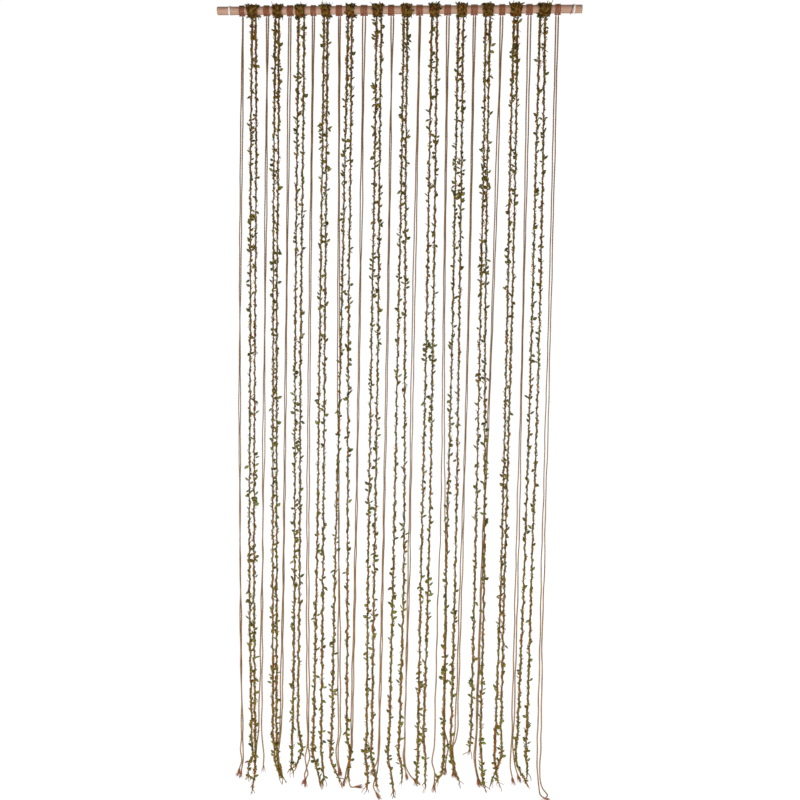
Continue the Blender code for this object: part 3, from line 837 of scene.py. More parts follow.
BROWN_CORD = CordFinish(
    name="brown_cord",
    dark=tone(94, 67, 43),
    mid=tone(138, 108, 75),
    light=tone(168, 137, 99),
    wound=tone(142, 72, 46),
    lit_top=tone(124, 96, 56),
)
GARLAND_CORE = CoreFinish(
    name="garland_core",
    dark=tone(54, 35, 6),
    mid=tone(108, 79, 16),
    light=tone(152, 122, 36),
    wound=tone(112, 64, 26),
    patches=90.0,
)
COPPER_FIBRE = CordFinish(
    name="frayed_fibre",
    dark=tone(94, 52, 32),
    mid=tone(132, 80, 52),
    light=tone(162, 108, 76),
    wound=tone(132, 80, 52),
    valley=0.1,
)
WHITE_COTTON = CordFinish(
    name="white_cotton",
    dark=tone(244, 243, 240),
    mid=tone(250, 250, 248),
    light=tone(253, 253, 252),
    wound=tone(250, 250, 248),
    valley=0.1,
    fuzz=0.4,
)
TIE_BROWN = CordFinish(
    name="tie_brown",
    dark=tone(34, 20, 12),
    mid=tone(56, 35, 23),
    light=tone(80, 54, 36),
    wound=tone(56, 35, 23),
)


# How many shapes each collection for the trees holds
SHAPES_IN_SET = 3


class GeometryTree(NodeBuilder):
    """A Geometry Nodes tree with named inputs."""

    def __init__(self, name: str) -> None:
        """Start a tree that takes and gives geometry."""
        super().__init__(bpy.data.node_groups.new(name, "GeometryNodeTree"))
        for way in ("INPUT", "OUTPUT"):
            self.tree.interface.new_socket("Geometry", in_out=way, socket_type="NodeSocketGeometry")
        self.entry = self.tree.nodes.new("NodeGroupInput")
        self.exit = self.tree.nodes.new("NodeGroupOutput")

    def number(self, name: str, value: float) -> Socket:
        """Add a named number input."""
        return self.asked(name, "Float", value)

    def count(self, name: str, value: int) -> Socket:
        """Add a named whole-number input."""
        return self.asked(name, "Int", value)

    def asked(self, name: str, kind: str, value: object = None) -> Socket:
        """Add a named input of some kind, such as Material, and return its socket inside."""
        made = self.tree.interface.new_socket(name, in_out="INPUT", socket_type="NodeSocket" + kind)
        if value is not None:
            made.default_value = value
        return self.entry.outputs[name]

    def stored(self, name: str, kind: str = "FLOAT") -> Socket:
        """A number or vector stored on the geometry."""
        made = self.node("GeometryNodeInputNamedAttribute", {"Name": name}, data_type=kind)
        return made.outputs["Attribute"]

    def keep(self, geometry: Socket, name: str, value: Socket, domain: str = "POINT") -> Socket:
        """Store a number on the geometry under a name."""
        inputs = {"Geometry": geometry, "Name": name, "Value": value}
        return self.output("GeometryNodeStoreNamedAttribute", inputs, domain=domain)

    def chance(self, low: object, high: object, seed: Socket, step: int) -> Socket:
        """A random number for each element."""
        inputs = {2: low, 3: high, "Seed": self.math("ADD", seed, float(step))}
        return self.node("FunctionNodeRandomValue", inputs, data_type="FLOAT").outputs[1]

    def likely(self, share: object, seed: Socket, step: int) -> Socket:
        """True for about that share of the elements."""
        return self.math("LESS_THAN", self.chance(0.0, 1.0, seed, step), share)

    def pick(self, test: Socket, no: Socket, yes: Socket) -> Socket:
        """One of two numbers."""
        inputs = {"Switch": test, "False": no, "True": yes}
        return self.node("GeometryNodeSwitch", inputs, input_type="FLOAT").outputs["Output"]

    def turned(self, rotation: Socket, axis: Triple, angle: Socket) -> Socket:
        """A rotation turned further about one of its own axes."""
        turn = self.output("FunctionNodeAxisAngleToRotation", {"Axis": axis, "Angle": angle})
        inputs = {"Rotation": rotation, "Rotate By": turn}
        return self.output("FunctionNodeRotateRotation", inputs, rotation_space="LOCAL")

    def moved(self, geometry: Socket, **place: Socket) -> Socket:
        """Move points to a Position or by an Offset."""
        return self.output("GeometryNodeSetPosition", {"Geometry": geometry, **place})

    def scattered(
        self, points: Socket, shapes: Socket, seed: Socket, step: int, rotation: Socket, scale: Socket,
        selection: object = True,
    ) -> Socket:
        """Put one of a collection's shapes on each point.

        Args:
            points: the points.
            shapes: the collection, with as many shapes as SHAPES_IN_SET.
            seed: the seed that picks the shapes.
            step: the step of that seed.
            rotation: each shape's rotation.
            scale: each shape's size.
            selection: which points get a shape.

        Returns:
            The instances.
        """
        inputs = {"Collection": shapes, "Separate Children": True, "Reset Children": True}
        return self.output(
            "GeometryNodeInstanceOnPoints",
            {
                "Points": points,
                "Selection": selection,
                "Instance": self.output("GeometryNodeCollectionInfo", inputs),
                "Pick Instance": True,
                "Instance Index": self.math("FLOOR", self.chance(0.0, SHAPES_IN_SET - 0.001, seed, step)),
                "Rotation": rotation,
                "Scale": scale,
            },
        )

    def dressed(self, geometry: Socket, material: Socket) -> Socket:
        """Realize, shade smooth and give a material."""
        real = self.output("GeometryNodeRealizeInstances", {"Geometry": geometry})
        smooth = self.output("GeometryNodeSetShadeSmooth", {"Geometry": real})
        return self.output("GeometryNodeSetMaterial", {"Geometry": smooth, "Material": material})

    def finish(self, parts: list[Socket]) -> bpy.types.NodeTree:
        """Join the parts into the tree's output."""
        join = self.node("GeometryNodeJoinGeometry")
        for part in parts:
            self.tree.links.new(part, join.inputs[0])
        self.tree.links.new(join.outputs[0], self.exit.inputs["Geometry"])
        return self.tree


class HankTree(GeometryTree):
    """Geometry Nodes for one hank: a twisted cord along its route, leaves, and frayed tips."""

    HUG_TURN: ClassVar[Range] = (-0.5, 0.5)
    OPEN_TURN: ClassVar[Range] = (math.radians(50), math.radians(130))
    HUG_SHADES: ClassVar[Range] = (0.0, 0.85)
    OPEN_SHADES: ClassVar[Range] = (0.54, 0.84)
    LEAF_CURLS: ClassVar[Range] = (0.5, 1.6)
    LEAF_WIDTHS: ClassVar[Range] = (0.8, 1.15)
    END_WIDTHS: ClassVar[Range] = (0.6, 1.3)

    def __init__(self, name: str) -> None:
        """Start the tree with the size that its cord and its leaves share."""
        super().__init__(name)
        self.radius = self.number("Cord Radius", 1.4 * MM)

    def route(self) -> Socket:
        """The hank's route as a curve."""
        return self.output("GeometryNodeMeshToCurve", {"Mesh": self.entry.outputs["Geometry"]})

    def cord(self) -> Socket:
        """Sweep a two-ply section along the route, turning as it goes."""
        flatness = self.number("Ply Flatness", 0.56)
        pitch = self.number("Ply Pitch", 10 * MM)
        step = self.number("Ring Step", 1.7 * MM)
        sides = self.count("Ring Points", 6)
        material = self.asked("Cord Material", "Material")
        inputs = {"Curve": self.route(), "Length": step}
        rings = self.output("GeometryNodeResampleCurve", inputs, mode="LENGTH")
        length = self.node("GeometryNodeSplineParameter").outputs["Length"]
        tilt = self.math("MULTIPLY", self.math("DIVIDE", length, pitch), math.tau)
        twisted = self.output("GeometryNodeSetCurveTilt", {"Curve": rings, "Tilt": tilt})
        measured = self.keep(twisted, "along", length)
        circle = self.output("GeometryNodeCurvePrimitiveCircle", {"Resolution": sides, "Radius": self.radius})
        inputs = {0: self.output("GeometryNodeInputPosition"), 1: self.triple(1.0, flatness, 1.0)}
        squeezed = self.output("ShaderNodeVectorMath", inputs, operation="MULTIPLY")
        section = self.moved(circle, Position=squeezed)
        around = self.node("GeometryNodeSplineParameter").outputs["Factor"]
        wave = self.math("SINE", self.math("MULTIPLY", around, math.tau))
        # Marks the valleys between the plies, where the cord finish paints shade
        ply = self.keep(section, "valley", self.math("ABSOLUTE", wave))
        inputs = {"Curve": measured, "Profile Curve": ply, "Scale": self.stored("girth"), "Fill Caps": True}
        return self.dressed(self.output("GeometryNodeCurveToMesh", inputs), material)

    def leaves(self) -> Socket:
        """Scatter leaves along the route, some hugging the stem and some standing off."""
        shapes = self.asked("Leaf Shapes", "Collection")
        pitch = self.number("Leaf Pitch", 3 * MM)
        hug_tilts = self.between("Hug Tilt", math.radians(10), math.radians(26))
        open_tilts = self.between("Open Tilt", math.radians(32), math.radians(66))
        hug_size = self.number("Hug Size", 0.74)
        open_size = self.number("Open Size", 1.16)
        sizes = self.between("Leaf Size", 0.8, 1.15)
        seed = self.count("Leaf Seed", 1)
        material = self.asked("Leaf Material", "Material")
        inputs = {"Curve": self.route(), "Length": pitch}
        points = self.node("GeometryNodeCurveToPoints", inputs, mode="LENGTH")
        loft = self.stored("loft")
        standing = self.likely(self.stored("spread"), seed, 1)

        hugging = self.math("MULTIPLY", self.chance(*hug_tilts, seed, 2), loft)
        tilt = self.pick(standing, hugging, self.chance(*open_tilts, seed, 3))
        backward = self.likely(self.stored("backward"), seed, 4)
        lean = self.pick(backward, tilt, self.math("SUBTRACT", math.pi, tilt))
        spin = self.turned(points.outputs["Rotation"], Z_AXIS, self.chance(0.0, math.tau, seed, 5))
        hug_turn = self.chance(*self.HUG_TURN, seed, 12)
        facing = self.pick(standing, hug_turn, self.chance(*self.OPEN_TURN, seed, 13))
        rotation = self.turned(self.turned(spin, Y_AXIS, lean), Z_AXIS, facing)

        # Leaves in the hitch, where loft is low, are smaller
        lofted = self.math("ADD", 0.5, self.math("MULTIPLY", loft, 0.5))
        growth = self.math("MULTIPLY", lofted, self.pick(standing, hug_size, open_size))
        size = self.math("MULTIPLY", growth, self.chance(*sizes, seed, 6))
        width = self.math("MULTIPLY", size, self.chance(*self.LEAF_WIDTHS, seed, 8))
        scale = self.triple(self.chance(*self.LEAF_CURLS, seed, 7), width, size)

        # Each leaf starts inside the cord, and deeper inside it in the hitch
        depth = self.math("ADD", 0.25, self.math("MULTIPLY", loft, 0.45))
        skin = self.math("MULTIPLY", self.stored("girth"), self.math("MULTIPLY", self.radius, depth))
        offset = self.output("FunctionNodeRotateVector", {"Vector": self.triple(skin), "Rotation": spin})
        seated = self.moved(points.outputs["Points"], Offset=offset)
        hug_shade = self.math("MULTIPLY", self.chance(*self.HUG_SHADES, seed, 10), loft)
        shade = self.pick(standing, hug_shade, self.chance(*self.OPEN_SHADES, seed, 11))
        grown = self.likely(self.stored("leafiness"), seed, 0)
        leaves = self.scattered(self.keep(seated, "shade", shade), shapes, seed, 9, rotation, scale, grown)
        return self.dressed(leaves, material)

    def between(self, name: str, low: float, high: float) -> tuple[Socket, Socket]:
        """Add two named inputs for the ends of a range."""
        return self.number(name + " Low", low), self.number(name + " High", high)

    def fray(self, label: str) -> Socket:
        """Open each tip of the route into loose ends that hang down.

        Args:
            label: what the loose ends are, such as Fibre; it names the inputs.

        Returns:
            The loose ends' geometry.
        """
        shapes = self.asked(f"{label} Shapes", "Collection")
        amount = self.count(f"{label} Count", 20)
        widest = self.number(f"{label} Spread", math.radians(16))
        sizes = self.between(f"{label} Size", 0.6, 1.1)
        seed = self.count(f"{label} Seed", 1)
        material = self.asked(f"{label} Material", "Material")
        inputs = {"Mesh": self.entry.outputs["Geometry"], "Selection": self.stored("tip")}
        tips = self.output("GeometryNodeMeshToPoints", inputs, mode="VERTICES")
        inputs = {"Geometry": tips, "Amount": self.math("MULTIPLY", amount, self.stored("tip"))}
        many = self.output("GeometryNodeDuplicateElements", inputs, domain="POINT")
        inputs = {"Vector": self.stored("upward", "FLOAT_VECTOR")}
        level = self.output("FunctionNodeAlignRotationToVector", inputs, axis="Z")
        spin = self.turned(level, Z_AXIS, self.chance(0.0, math.tau, seed, 0))
        lean = self.turned(spin, Y_AXIS, self.chance(0.0, widest, seed, 1))
        rolled = self.turned(lean, Z_AXIS, self.chance(0.0, math.tau, seed, 2))
        across = self.chance(*self.END_WIDTHS, seed, 4)
        scale = self.triple(across, across, self.chance(*sizes, seed, 3))
        loose = self.scattered(many, shapes, seed, 5, rolled, scale)
        shaded = self.keep(loose, "shade", self.chance(0.0, 1.0, seed, 6), "INSTANCE")
        return self.dressed(shaded, material)


def grow(route: bpy.types.Object, tree: bpy.types.NodeTree, values: dict[str, object]) -> bpy.types.Object:
    """Run a tree on a route and turn the result into a plain mesh piece.

    Args:
        route: the object whose edges are the route; it becomes the finished piece.
        tree: the Geometry Nodes tree.
        values: the tree's inputs by name.

    Returns:
        The same object with the grown mesh and no modifier.
    """
    modifier = route.modifiers.new("grow", "NODES")
    modifier.node_group = tree
    for item in tree.interface.items_tree:
        if item.item_type == "SOCKET" and item.in_out == "INPUT" and item.name in values:
            modifier[item.identifier] = values[item.name]
    route.update_tag()
    view = bpy.context.evaluated_depsgraph_get()
    mesh = bpy.data.meshes.new_from_object(route.evaluated_get(view))
    route.modifiers.remove(modifier)
    route.data = mesh
    mesh.name = route.name
    return route


def link(name: str, data: bpy.types.ID) -> bpy.types.Object:
    """Put a mesh, a light or a camera into the scene as an object at the origin."""
    made = bpy.data.objects.new(name, data)
    bpy.context.scene.collection.objects.link(made)
    return made


def route_object(name: str, line: Points, numbers: dict[str, list[float]]) -> bpy.types.Object:
    """Make an object whose edges are an open line.

    Args:
        name: the object's name.
        line: the points in order, both ends being loose tips.
        numbers: a value for each point under each name.

    Returns:
        The object, with the numbers and each tip's way back up the cord stored.
    """
    mesh = bpy.data.meshes.new(name)
    edges = [(index, index + 1) for index in range(len(line) - 1)]
    mesh.from_pydata(line, edges, [])
    for key, values in numbers.items():
        mesh.attributes.new(key, "FLOAT", "POINT").data.foreach_set("value", values)
    last = len(line) - 1
    upward = mesh.attributes.new("upward", "FLOAT_VECTOR", "POINT")
    upward.data[0].vector = (line[2] - line[0]).normalized()
    upward.data[last].vector = (line[last - 2] - line[last]).normalized()
    return link(name, mesh)


def ring(centre: Vector, radius: float, sides: int, axis: Triple = Z_AXIS) -> Points:
    """Points round a circle.

    Args:
        centre: the circle's centre.
        radius: its radius.
        sides: how many points it gets.
        axis: what it turns about, X_AXIS or Z_AXIS.

    Returns:
        The points in order.
    """
    points: Points = []
    for side in range(sides):
        angle = math.tau * side / sides
        across, up = radius * math.cos(angle), radius * math.sin(angle)
        offset = (across, up, 0.0) if axis == Z_AXIS else (0.0, across, up)
        points.append(centre + Vector(offset))
    return points


def skin(rings: list[Points]) -> list[tuple[int, ...]]:
    """Four-sided faces between rings that follow each other.

    Args:
        rings: rings with as many points each.

    Returns:
        The faces, their points counted through all the rings.
    """
    sides = len(rings[0])
    faces: list[tuple[int, ...]] = []
    for row in range(len(rings) - 1):
        for side in range(sides):
            first, after = row * sides + side, row * sides + (side + 1) % sides
            faces.append((first, after, after + sides, first + sides))
    return faces


def solid_mesh(name: str, rings: list[Points]) -> bpy.types.Mesh:
    """Close rings of points into a solid form with flat ends.

    Args:
        name: the mesh's name.
        rings: rings with as many points each, from one end to the other.

    Returns:
        The mesh, its faces turned outwards.
    """
    sides = len(rings[0])
    points = [point for row in rings for point in row]
    ends = [tuple(reversed(range(sides))), tuple(range(len(points) - sides, len(points)))]
    mesh = bpy.data.meshes.new(name)
    mesh.from_pydata(points, [], skin(rings) + ends)
    bm = bmesh.new()
    bm.from_mesh(mesh)
    settle(bm, mesh)
    return mesh


def settle(bm: bmesh.types.BMesh, mesh: bpy.types.Mesh) -> None:
    """Turn the faces of a closed form outwards and put it into the mesh."""
    bmesh.ops.recalc_face_normals(bm, faces=bm.faces)
    bm.to_mesh(mesh)
    bm.free()


def shape_set(name: str, shapes: list[bpy.types.Object]) -> bpy.types.Collection:
    """Put small shapes into a collection, for the trees to pick from."""
    made = bpy.data.collections.new(name)
    bpy.context.scene.collection.children.link(made)
    for shape in shapes:
        made.objects.link(shape)
    return made


class LeafShape(Enum):
    """Leaf outlines: length, half width, curl towards the back and sharpness of the tip."""

    OVAL = (10.4 * MM, 3.1 * MM, 1.2 * MM, 0.7)
    POINTED = (11.6 * MM, 2.7 * MM, 2.2 * MM, 0.95)
    CUPPED = (9.4 * MM, 3.2 * MM, -1.3 * MM, 0.6)


@dataclass
class LeafShapes:
    """The small set of leaves that the garlands repeat, grown along +Z from a short stalk.

    low, middle and high are the places of its outline, as shares of its length.
    """

    stalk: float = 0.3 * MM
    thickness: float = 0.35 * MM
    fold: float = 0.5 * MM
    low: float = 0.22
    middle: float = 0.52
    high: float = 0.8

    def build(self) -> bpy.types.Collection:
        """Make a collection of one object for each leaf shape."""
        return shape_set("leaf_shapes", [self.leaf(shape) for shape in LeafShape])

    def leaf(self, shape: LeafShape) -> bpy.types.Object:
        """One closed, folded and curled leaf of 20 triangles."""
        length, half_width, curl, sharp = shape.value
        outline = ((self.low, 0.84), (self.middle, 1.0), (self.high, 0.66 - 0.2 * sharp))
        bm = bmesh.new()
        reach = bm.verts.layers.float.new("reach")
        rib = bm.verts.layers.float.new("rib")

        def add(share: float, across: float, lift: float = 0.0, on_rib: float = 1.0) -> bmesh.types.BMVert:
            """Add a vertex at a share of the leaf's length."""
            vert = bm.verts.new((curl * share**2 + lift, across, self.stalk + length * share))
            vert[reach] = share
            vert[rib] = on_rib
            return vert

        base, tip = add(0.0, 0.0), add(1.0, 0.0)
        edges = [
            [add(share, width * reach_out, on_rib=0.0) for share, width in outline]
            for reach_out in (half_width, -half_width)
        ]
        for lift in (self.thickness - self.fold, -self.fold - self.thickness):
            ridge = [add(share, 0.0, lift) for share in (self.low, self.high)]
            for edge in edges:
                bm.faces.new((base, edge[0], ridge[0]))
                bm.faces.new((edge[0], edge[1], ridge[0]))
                bm.faces.new((edge[1], ridge[1], ridge[0]))
                bm.faces.new((edge[1], edge[2], ridge[1]))
                bm.faces.new((edge[2], tip, ridge[1]))
        mesh = bpy.data.meshes.new("leaf_" + shape.name.lower())
        settle(bm, mesh)
        return bpy.data.objects.new(mesh.name, mesh)


@dataclass
class LooseEnds:
    """Thin curved threads that hang down -Z, for frayed cord ends."""

    label: str
    length: float
    radius: float
    curls: tuple[float, ...]
    taper: float = 0.6
    rows: int = 5
    sides: int = 3
    overlap: float = 4 * MM

    def build(self) -> bpy.types.Collection:
        """Make a collection of one thread for each curl."""
        threads = [self.thread(f"{self.label}_{index}", curl) for index, curl in enumerate(self.curls)]
        return shape_set(self.label, threads)

    def thread(self, name: str, curl: float) -> bpy.types.Object:
        """One tapered thread that sweeps sideways and back."""
        rings: list[Points] = []
        for row in range(self.rows + 1):
            share = row / self.rows
            sideways = curl * math.sin(share * math.pi * 0.8) * share
            back = 0.35 * curl * math.sin(share * math.tau * 0.7)
            centre = Vector((sideways, back, self.overlap - self.length * share))
            rings.append(ring(centre, self.radius * (1.0 - self.taper * share), self.sides))
        return bpy.data.objects.new(name, solid_mesh(name, rings))


@dataclass
class Workshop:
    """What all the hanks share: finishes, small shapes and trees."""

    core: bpy.types.Material
    cord: bpy.types.Material
    leaf: bpy.types.Material
    fibre: bpy.types.Material
    leaf_shapes: bpy.types.Collection
    fibre_shapes: bpy.types.Collection
    wire_shapes: bpy.types.Collection
    cord_tree: bpy.types.NodeTree
    garland_tree: bpy.types.NodeTree

    @classmethod
    def open(cls) -> Workshop:
        """Make the shared finishes, shapes and trees."""
        cord = HankTree("cord_hank")
        garland = HankTree("garland_hank")
        fibres = LooseEnds("fibre", length=27 * MM, radius=0.8 * MM, curls=(2 * MM, 4 * MM, -3 * MM))
        wires = LooseEnds(
            "wire", length=29 * MM, radius=1.4 * MM, curls=(5 * MM, -4 * MM, 9 * MM), taper=0.35, rows=7
        )
        return cls(
            core=GARLAND_CORE.material(),
            cord=BROWN_CORD.material(),
            leaf=LeafFinish().material(),
            fibre=COPPER_FIBRE.material(),
            leaf_shapes=LeafShapes().build(),
            fibre_shapes=fibres.build(),
            wire_shapes=wires.build(),
            cord_tree=cord.finish([cord.cord(), cord.fray("Fibre")]),
            garland_tree=garland.finish(
                [garland.cord(), garland.leaves(), garland.fray("Wire"), garland.fray("Leaflet")]
            ),
        )

    def close(self) -> None:
        """Remove the small shapes from the scene once the pieces hold their copies."""
        for shapes in (self.leaf_shapes, self.fibre_shapes, self.wire_shapes):
            for item in list(shapes.objects):
                bpy.data.objects.remove(item, do_unlink=True)
            bpy.data.collections.remove(shapes)


# Depths under the rod's axis, in millimetres, at which a hank's girths are given
GIRTH_DEPTHS = (50, 300, 680, 1080, 1480, 1800)


@dataclass
class DressedHank:
    """A hank on its route, with what plain and leafy ones share.

    girths are the cord's thickness at the GIRTH_DEPTHS. parts and wound_parts are how many
    points each stretch of a strand and of the hitch gets, and seeds_each is how many seeds
    a hank's random draws may use.
    """

    name: str
    hank: Hank
    seed: int
    rod_radius: float
    girths: tuple[float, ...]
    exit_depth: float
    station: float
    parts: int
    wander: float
    wavelength: float
    wander_growth: float
    wound_parts: int = 4
    seeds_each: int = 20

    def hitch(self, chance: random.Random) -> HitchRoute:
        """The hank's own hitch."""
        raise NotImplementedError

    def line(self) -> tuple[Points, int, int]:
        """The route from the left tip to the right one, and where its hitch starts and ends."""
        chance = random.Random(self.seed)
        route = StrandRoute(self.hank)
        strands = []
        for side in (-1, 1):
            wander = Wander(self.wander, self.wavelength, self.wander_growth, chance)
            strands.append(route.hanging(side, self.exit_depth, self.station, wander))
        around = self.hitch(chance).points(strands[0][0], strands[1][0])
        left = flowing_line(list(reversed(strands[0])), self.parts)
        wound = flowing_line(around, self.wound_parts)
        right = flowing_line(strands[1], self.parts)
        return left[:-1] + wound + right[1:], len(left), len(left) + len(wound)

    def girth(self, point: Vector) -> float:
        """The hanging cord's thickness at a point."""
        return smooth_value(GIRTH_DEPTHS, self.girths, -point.z / MM)

    def numbers(self, count: int, start: int, end: int) -> dict[str, list[float]]:
        """What each of the route's points carries, the stretch from start to end being wound."""
        left_fray, right_fray = self.hank.fray
        return {
            "wound": [1.0 if start <= index < end else 0.0 for index in range(count)],
            "tip": [left_fray] + [0.0] * (count - 2) + [right_fray],
            "strand": [float(self.seed)] * count,
        }


@dataclass
class CordHank(DressedHank):
    """A plain hank: one twisted cord hitched on the rod, with frayed copper tips.

    leaving_points is how many of the hitch's last points look like the hanging strand.
    """

    slot: ClassVar[str] = "brown_cord"
    girths: tuple[float, ...] = (1.5, 1.28, 1.16, 1.06, 1.36, 1.42)
    exit_depth: float = 17.5 * MM
    station: float = 24 * MM
    parts: int = 4
    wander: float = 0.45 * MM
    wavelength: float = 130 * MM
    wander_growth: float = 1.3
    diameter: float = 2.9 * MM
    turn_width: float = 3.2 * MM
    leaving_points: int = 2

    def hitch(self, chance: random.Random) -> HitchRoute:
        """Even turns side by side, as wide as the frame's hitch."""
        return HitchRoute(
            x=self.hank.x * MM,
            width=self.hank.width * MM,
            turns=round(self.hank.width * MM / self.turn_width),
            rod_radius=self.rod_radius,
            thickness=self.diameter,
            looseness=0.12 * MM,
            foot=1.4 * MM,
            flare=1.08,
            sag=0.0,
            chance=chance,
        )

    def build(self, shop: Workshop) -> bpy.types.Object:
        """Grow the hank's piece."""
        line, start, end = self.line()
        numbers = self.numbers(len(line), start, end - self.leaving_points)
        numbers["girth"] = [
            1.0 if inside else self.girth(point) for inside, point in zip(numbers["wound"], line)
        ]
        values = {
            "Cord Radius": self.diameter / 2,
            "Ply Flatness": 0.76,
            "Ring Step": 2.1 * MM,
            "Cord Material": shop.cord,
            "Fibre Shapes": shop.fibre_shapes,
            "Fibre Count": 30,
            "Fibre Spread": math.radians(17),
            "Fibre Seed": self.seed * self.seeds_each,
            "Fibre Material": shop.fibre,
        }
        return grow(route_object(self.name + "_cord", line, numbers), shop.cord_tree, values)


@dataclass
class LeafHank(DressedHank):
    """A leafy hank: a dark core cord bound with small leaves, hitched on the rod.

    Along a strand, leaves grow in patches of their own fullness, and knobs make the core
    thicker and thinner. The hitch and the tips are densely leafed, and each has its own
    share of open leaves. loft is how far leaves stand off, 1 on a hanging strand.
    """

    slot: ClassVar[str] = "leaf_garland"
    girths: tuple[float, ...] = (1.2, 0.85, 0.83, 0.76, 0.98, 1.16)
    exit_depth: float = 24 * MM
    station: float = 12 * MM
    parts: int = 3
    wander: float = 1.0 * MM
    wavelength: float = 38 * MM
    wander_growth: float = 0.5
    core_diameter: float = 5.6 * MM
    bulk: float = 3.8 * MM
    turn_width: float = 5.2 * MM
    fewest_turns: int = 4
    hitch_girths: tuple[float, float] = (0.74, 0.98)
    patch_points: int = 14
    patch_fullness: tuple[float, float] = (0.65, 0.95)
    open_shares: tuple[float, ...] = (0.03, 0.07, 0.12, 0.3)
    upper_depth: float = 700 * MM
    upper_gain: float = 1.25
    knob_points: int = 3
    knob_girths: tuple[float, float] = (0.8, 1.2)
    tip_points: int = 14
    slim_points: int = 6
    slim_girth: float = 0.7
    dense: float = 0.95
    hitch_open: float = 0.19
    hitch_loft: float = 0.5
    tip_open: float = 0.2
    backward_share: float = 0.2
    leafing_seed: int = 500

    def hitch(self, chance: random.Random) -> HitchRoute:
        """Loose turns that sag under the rod, within the frame's hitch."""
        return HitchRoute(
            x=self.hank.x * MM,
            width=self.hank.width * MM - 2 * MM,
            turns=max(self.fewest_turns, round(self.hank.width * MM / self.turn_width)),
            rod_radius=self.rod_radius,
            thickness=self.bulk,
            looseness=1.9 * MM,
            foot=-2.0 * MM,
            flare=0.76,
            sag=1.4 * MM,
            chance=chance,
        )

    def leafing(self, line: Points, wound: list[float]) -> dict[str, list[float]]:
        """How thick the core is and how its leaves grow at each point.

        Args:
            line: the route's points.
            wound: which points belong to the hitch.

        Returns:
            Girth, leafiness, share of open leaves and loft, a number for each point.
        """
        chance = random.Random(self.seed + self.leafing_seed)
        rows: list[tuple[float, float, float, float]] = []
        for index, (point, in_hitch) in enumerate(zip(line, wound)):
            if index % self.patch_points == 0:
                fullness = chance.uniform(*self.patch_fullness)
                gain = self.upper_gain if -point.z < self.upper_depth else 1.0
                open_share = chance.choice(self.open_shares) * gain
            if index % self.knob_points == 0:
                knob = chance.uniform(*self.knob_girths)
            to_tip = min(index, len(line) - 1 - index)
            slimmer = self.slim_girth + (1 - self.slim_girth) * smooth_step(0, self.slim_points, to_tip)
            girth = knob * self.girth(point) * slimmer
            if in_hitch:
                girth = chance.uniform(*self.hitch_girths)
                rows.append((girth, self.dense, self.hitch_open, self.hitch_loft))
            elif to_tip < self.tip_points:
                rows.append((girth, self.dense, self.tip_open, 1.0))
            else:
                rows.append((girth, fullness, open_share, 1.0))
        names = ("girth", "leafiness", "spread", "loft")
        return {name: list(column) for name, column in zip(names, zip(*rows))}

    def build(self, shop: Workshop) -> bpy.types.Object:
        """Grow the hank's piece."""
        line, start, end = self.line()
        middle = (start + end) / 2
        numbers = self.numbers(len(line), start, end)
        numbers.update(self.leafing(line, numbers["wound"]))
        numbers["backward"] = [
            self.backward_share if index < middle else 1 - self.backward_share for index in range(len(line))
        ]
        first_seed = self.seed * self.seeds_each
        values = {
            "Cord Radius": self.core_diameter / 2,
            "Ply Flatness": 0.72,
            "Ply Pitch": 12 * MM,
            "Ring Step": 3.0 * MM,
            "Cord Material": shop.core,
            "Leaf Shapes": shop.leaf_shapes,
            "Leaf Pitch": 2.2 * MM,
            "Hug Tilt High": math.radians(36),
            "Leaf Seed": first_seed,
            "Leaf Material": shop.leaf,
            "Wire Shapes": shop.wire_shapes,
            "Wire Count": 4,
            "Wire Spread": math.radians(30),
            "Wire Seed": first_seed + 8,
            "Wire Material": shop.core,
            "Leaflet Shapes": shop.leaf_shapes,
            "Leaflet Count": 3,
            "Leaflet Spread": math.radians(60),
            "Leaflet Size Low": -0.6,
            "Leaflet Size High": -1.0,
            "Leaflet Seed": first_seed + 14,
            "Leaflet Material": shop.leaf,
        }
        return grow(route_object(self.name + "_garland", line, numbers), shop.garland_tree, values)


HANK_CLASSES = {Kind.CORD: CordHank, Kind.LEAF: LeafHank}


@dataclass
class WoodenRod:
    """The dowel, smooth and slightly rounded at its ends."""

    low: Vector
    high: Vector
    rounding: float = 1.2 * MM
    rounding_steps: int = 4
    sides: int = 72
    sharp_deg: float = 35

    def build(self) -> bpy.types.Object:
        """Turn the dowel along X to the frame's size."""
        half = (self.high.x - self.low.x) / 2
        middle = (self.high.x + self.low.x) / 2
        radius = (self.high.z - self.low.z) / 2
        left_end = []
        for step in range(self.rounding_steps, -1, -1):
            angle = math.radians(90 * step / self.rounding_steps)
            inset = self.rounding * (1 - math.sin(angle))
            left_end.append((-half + inset, radius - self.rounding * (1 - math.cos(angle))))
        profile = left_end + [(-x, reach) for x, reach in reversed(left_end)]
        rings = [ring(Vector((middle + x, 0.0, 0.0)), reach, self.sides, X_AXIS) for x, reach in profile]
        mesh = solid_mesh("rod_dowel", rings)
        mesh.shade_smooth()
        mesh.set_sharp_from_angle(angle=math.radians(self.sharp_deg))
        mesh.materials.append(WoodFinish().material())
        return link("rod_dowel", mesh)


